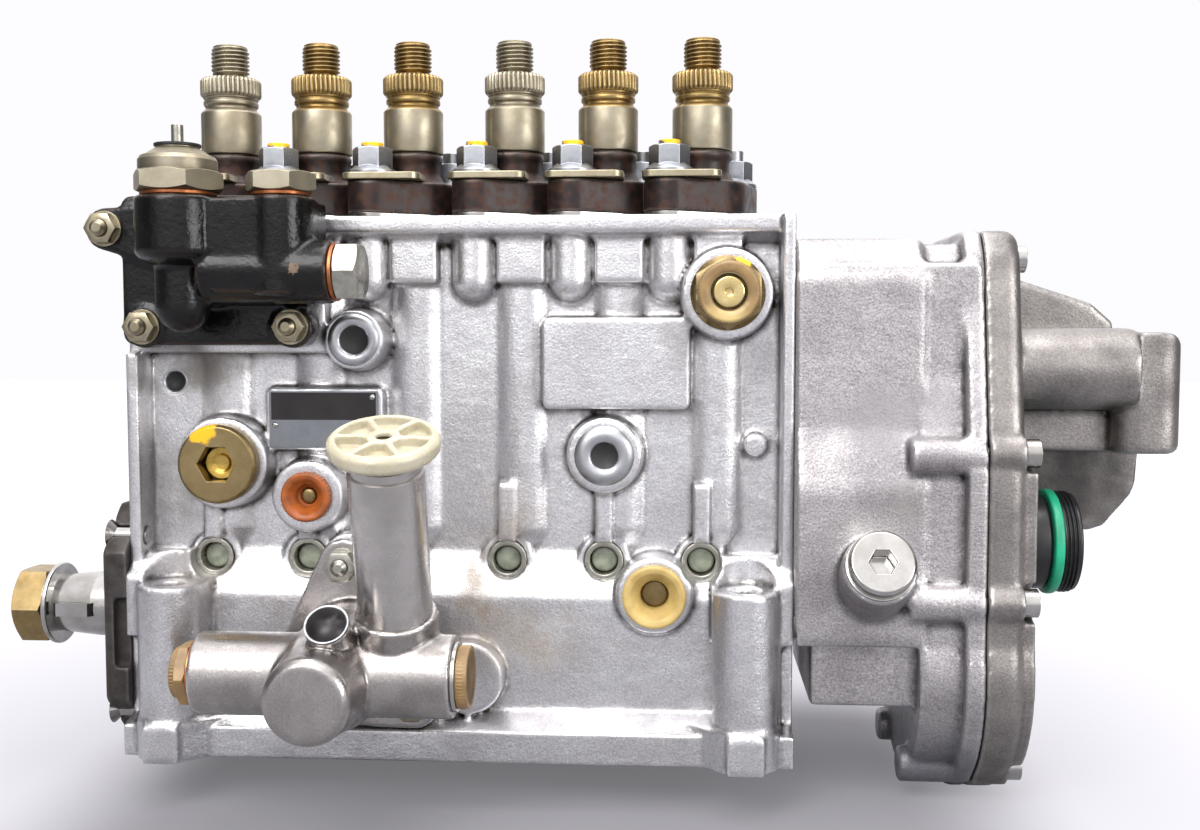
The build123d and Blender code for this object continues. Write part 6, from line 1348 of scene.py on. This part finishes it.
# ------------------------------------------------------------------ studio
@dataclass
class Studio:
    """Pale floor and backdrop, soft lights and the camera.

    Attributes:
        camera_place: Where the camera stands, in millimetres.
        azimuth: Its turn about Z, in degrees.
        elevation: How far it looks down, in degrees.
        lens: Its focal length in millimetres.
        floor_half: Half the side of the floor, in metres.
        floor_colour: The floor's tone for the camera.
        floor_grey: The floor's tone for reflections and bounced light.
        floor_white: Tone of the floor's own glow.
        backdrop: Tone of the world.
        shade: Middle, near and far reach of the painted shadow on the floor along X and Y, in metres.
        painted_shadow_lift: Share of the glow that stays in the painted shadow.
        bright_from: Distances from the middle over which the floor's painted shade fades out, in metres.
        near_lift: Glow of the floor near the pump, in its painted shade.
        front_glow: Strength of the world in front.
        top_glow: Strength of the world above.
        side_share: Share of that strength at the sides.
        rise: Height of a direction at which the world begins and ends to brighten.
        turn: Sideways part of a direction at which the world begins and ends to darken.
        lamps: Name, place and size in metres, and power in watts.
        lamp_aim: The point that the lamps are aimed at, in metres.
    """

    camera_place: Vec = (80.68, -482.6, 150.67)
    azimuth: float = 3.767
    elevation: float = 3.651
    lens: float = 38.4
    floor_half: float = 4.0
    floor_colour: str = "#5E5D61"
    floor_grey: str = "#9C9CA0"
    floor_white: str = "#FBF9FF"
    backdrop: str = "#FDFCFF"
    shade: tuple[Vec, Vec] = ((0.030, 0.125, 0.195), (-0.01, 0.072, 0.150))
    painted_shadow_lift: float = 0.28
    bright_from: Pair = (0.10, 0.50)
    near_lift: float = 0.56
    front_glow: float = 1.02
    top_glow: float = 1.9
    side_share: float = 0.14
    rise: Pair = (-0.25, 0.75)
    turn: Pair = (0.4, 0.9)
    lamps: tuple[tuple[str, Vec, float, float], ...] = (("key", (-0.25, -0.75, 0.75), 0.55, 7.0),
                                                        ("top", (0.1, -0.1, 0.95), 0.7, 6.0),
                                                        ("right", (0.95, -0.65, 0.35), 0.5, 5.5))
    lamp_aim: Vec = (0.05, 0.0, 0.09)

    def build(self) -> None:
        """Set up the camera, floor, world and lamps."""
        bpy.context.scene.view_settings.view_transform = "Standard"
        self._camera()
        self._floor()
        self._world()
        for name, place, size, power in self.lamps:
            self._lamp(name, place, size, power)

    def _camera(self) -> None:
        """Place the camera where its azimuth, height and lens frame the pump."""
        data = bpy.data.cameras.new("camera")
        data.lens = self.lens
        data.sensor_width = 36.0
        data.clip_start = 0.01
        camera = bpy.data.objects.new("camera", data)
        camera.location = tuple(c * MM for c in self.camera_place)
        camera.rotation_euler = (math.radians(90 - self.elevation), 0, math.radians(self.azimuth))
        bpy.context.scene.collection.objects.link(camera)
        bpy.context.scene.camera = camera

    def _floor(self) -> None:
        """A large pale floor under the lowest point of the pump: white to the camera, grey to all else.

        Its glow is the distance outside the painted shadow, a soft rectangle round the pump's footprint,
        times the distance from the middle, both turned to a share of 1 by a range; so the floor carries a
        painted contact shadow and a wider painted shade that fades away from the pump.
        """
        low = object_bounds()[0][2]
        side = np.array([-self.floor_half, self.floor_half])
        across, along = np.meshgrid(side, side)
        points = np.stack([across, along, np.full_like(across, low)], -1).reshape(-1, 3)
        floor = new_mesh("floor", points, np.array([[0, 1, 3, 2]]))
        material = bpy.data.materials.new("pale_floor")
        tree = blank_tree(material)
        seen = add_node(tree, "LightPath").outputs["Is Camera Ray"]
        tone = add_node(tree, "Mix", {"data_type": "RGBA", 6: linear(self.floor_grey),
                                      7: linear(self.floor_colour)}, {0: seen}).outputs[2]
        matt = add_node(tree, "BsdfDiffuse", {"Roughness": 0.9}, {"Color": tone})
        place = add_node(tree, "SeparateXYZ", None, {0: add_node(tree, "TexCoord").outputs["Object"]}).outputs
        clear = []
        # Painted shadow: the glow fades out inside a soft rectangle round the pump's footprint.
        for axis, (middle, near, far) in zip("XY", self.shade):
            off = add_node(tree, "Math", {"operation": "SUBTRACT", 1: middle}, {0: place[axis]}).outputs[0]
            off = add_node(tree, "Math", {"operation": "ABSOLUTE"}, {0: off}).outputs[0]
            clear.append(add_node(tree, "MapRange", {"From Min": near, "From Max": far},
                                  {"Value": off}).outputs[0])
        apart = add_node(tree, "CombineXYZ", None, {0: clear[0], 1: clear[1]}).outputs[0]
        apart = add_node(tree, "VectorMath", {"operation": "LENGTH"}, {0: apart}).outputs["Value"]
        flat = add_node(tree, "CombineXYZ", None, {0: place["X"], 1: place["Y"]}).outputs[0]
        reach = add_node(tree, "VectorMath", {"operation": "LENGTH"}, {0: flat}).outputs["Value"]
        # Painted shade: the glow is weaker near the middle and grows away from it.
        lift = add_node(tree, "MapRange", {"From Min": self.bright_from[0], "From Max": self.bright_from[1],
                                           "To Min": self.near_lift}, {"Value": reach}).outputs["Result"]
        outside_painted_shadow = add_node(tree, "MapRange", {"To Min": self.painted_shadow_lift,
                                                 "interpolation_type": "SMOOTHSTEP"},
                              {"Value": apart}).outputs["Result"]
        for factor in (outside_painted_shadow, seen):
            lift = add_node(tree, "Math", {"operation": "MULTIPLY"}, {0: lift, 1: factor}).outputs[0]
        glow = add_node(tree, "Emission", {"Color": linear(self.floor_white)}, {"Strength": lift})
        both = add_node(tree, "AddShader", None, {0: matt.outputs[0], 1: glow.outputs[0]})
        add_node(tree, "OutputMaterial", None, {"Surface": both.outputs[0]})
        floor.data.materials.append(material)
        floor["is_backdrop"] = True

    def _world(self) -> None:
        """White to the camera; to the rest bright above, half bright in front and dark at the sides."""
        world = bpy.data.worlds.new("studio")
        bpy.context.scene.world = world
        tree = blank_tree(world)
        path = add_node(tree, "LightPath")
        seen = add_node(tree, "Math", {"operation": "MAXIMUM"},
                        {0: path.outputs["Is Camera Ray"], 1: path.outputs["Is Transmission Ray"]}).outputs[0]
        direction = add_node(tree, "TexCoord").outputs["Generated"]
        parts = add_node(tree, "SeparateXYZ", None, {0: direction}).outputs
        above = add_node(tree, "MapRange", {"From Min": self.rise[0], "From Max": self.rise[1],
                                            "To Min": self.front_glow, "To Max": self.top_glow,
                                            "interpolation_type": "SMOOTHSTEP"},
                         {"Value": parts["Z"]}).outputs["Result"]
        aside = add_node(tree, "Math", {"operation": "ABSOLUTE"}, {0: parts["X"]}).outputs[0]
        shade = add_node(tree, "MapRange", {"From Min": self.turn[0], "From Max": self.turn[1], "To Min": 1.0,
                                            "To Max": self.side_share, "interpolation_type": "SMOOTHSTEP"},
                         {"Value": aside}).outputs["Result"]
        glow = add_node(tree, "Math", {"operation": "MULTIPLY"}, {0: above, 1: shade}).outputs[0]
        strength = add_node(tree, "Mix", {3: 1.0}, {0: seen, 2: glow}).outputs[0]
        back = add_node(tree, "Background", {"Color": linear(self.backdrop)}, {"Strength": strength})
        add_node(tree, "OutputWorld", None, {"Surface": back.outputs[0]})

    def _lamp(self, name: str, place: Vec, size: float, power: float) -> None:
        """Add an area lamp; lengths in metres, power in watts."""
        data = bpy.data.lights.new(name, "AREA")
        data.size = size
        data.energy = power
        lamp = bpy.data.objects.new(name, data)
        lamp.location = place
        aim = Vector(self.lamp_aim) - Vector(place)
        lamp.rotation_euler = aim.to_track_quat("-Z", "Y").to_euler()
        bpy.context.scene.collection.objects.link(lamp)


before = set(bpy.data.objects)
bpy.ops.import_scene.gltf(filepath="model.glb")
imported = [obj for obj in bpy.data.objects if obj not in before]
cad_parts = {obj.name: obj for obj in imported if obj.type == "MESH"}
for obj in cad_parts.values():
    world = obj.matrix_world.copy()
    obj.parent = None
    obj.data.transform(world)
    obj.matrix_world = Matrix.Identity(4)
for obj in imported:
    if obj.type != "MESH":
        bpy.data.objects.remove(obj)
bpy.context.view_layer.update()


def main() -> None:
    """Dress the pump."""
    logging.basicConfig(level=logging.INFO, format="%(message)s")
    shop = Workshop()
    for assembly in (Castings, MachinedParts, DeliveryHolders, Ports, NamePlate, Connector):
        assembly(shop).build()
    finish_inner_nodes(shop)
    Studio().build()


if __name__ == "__main__":
    main()
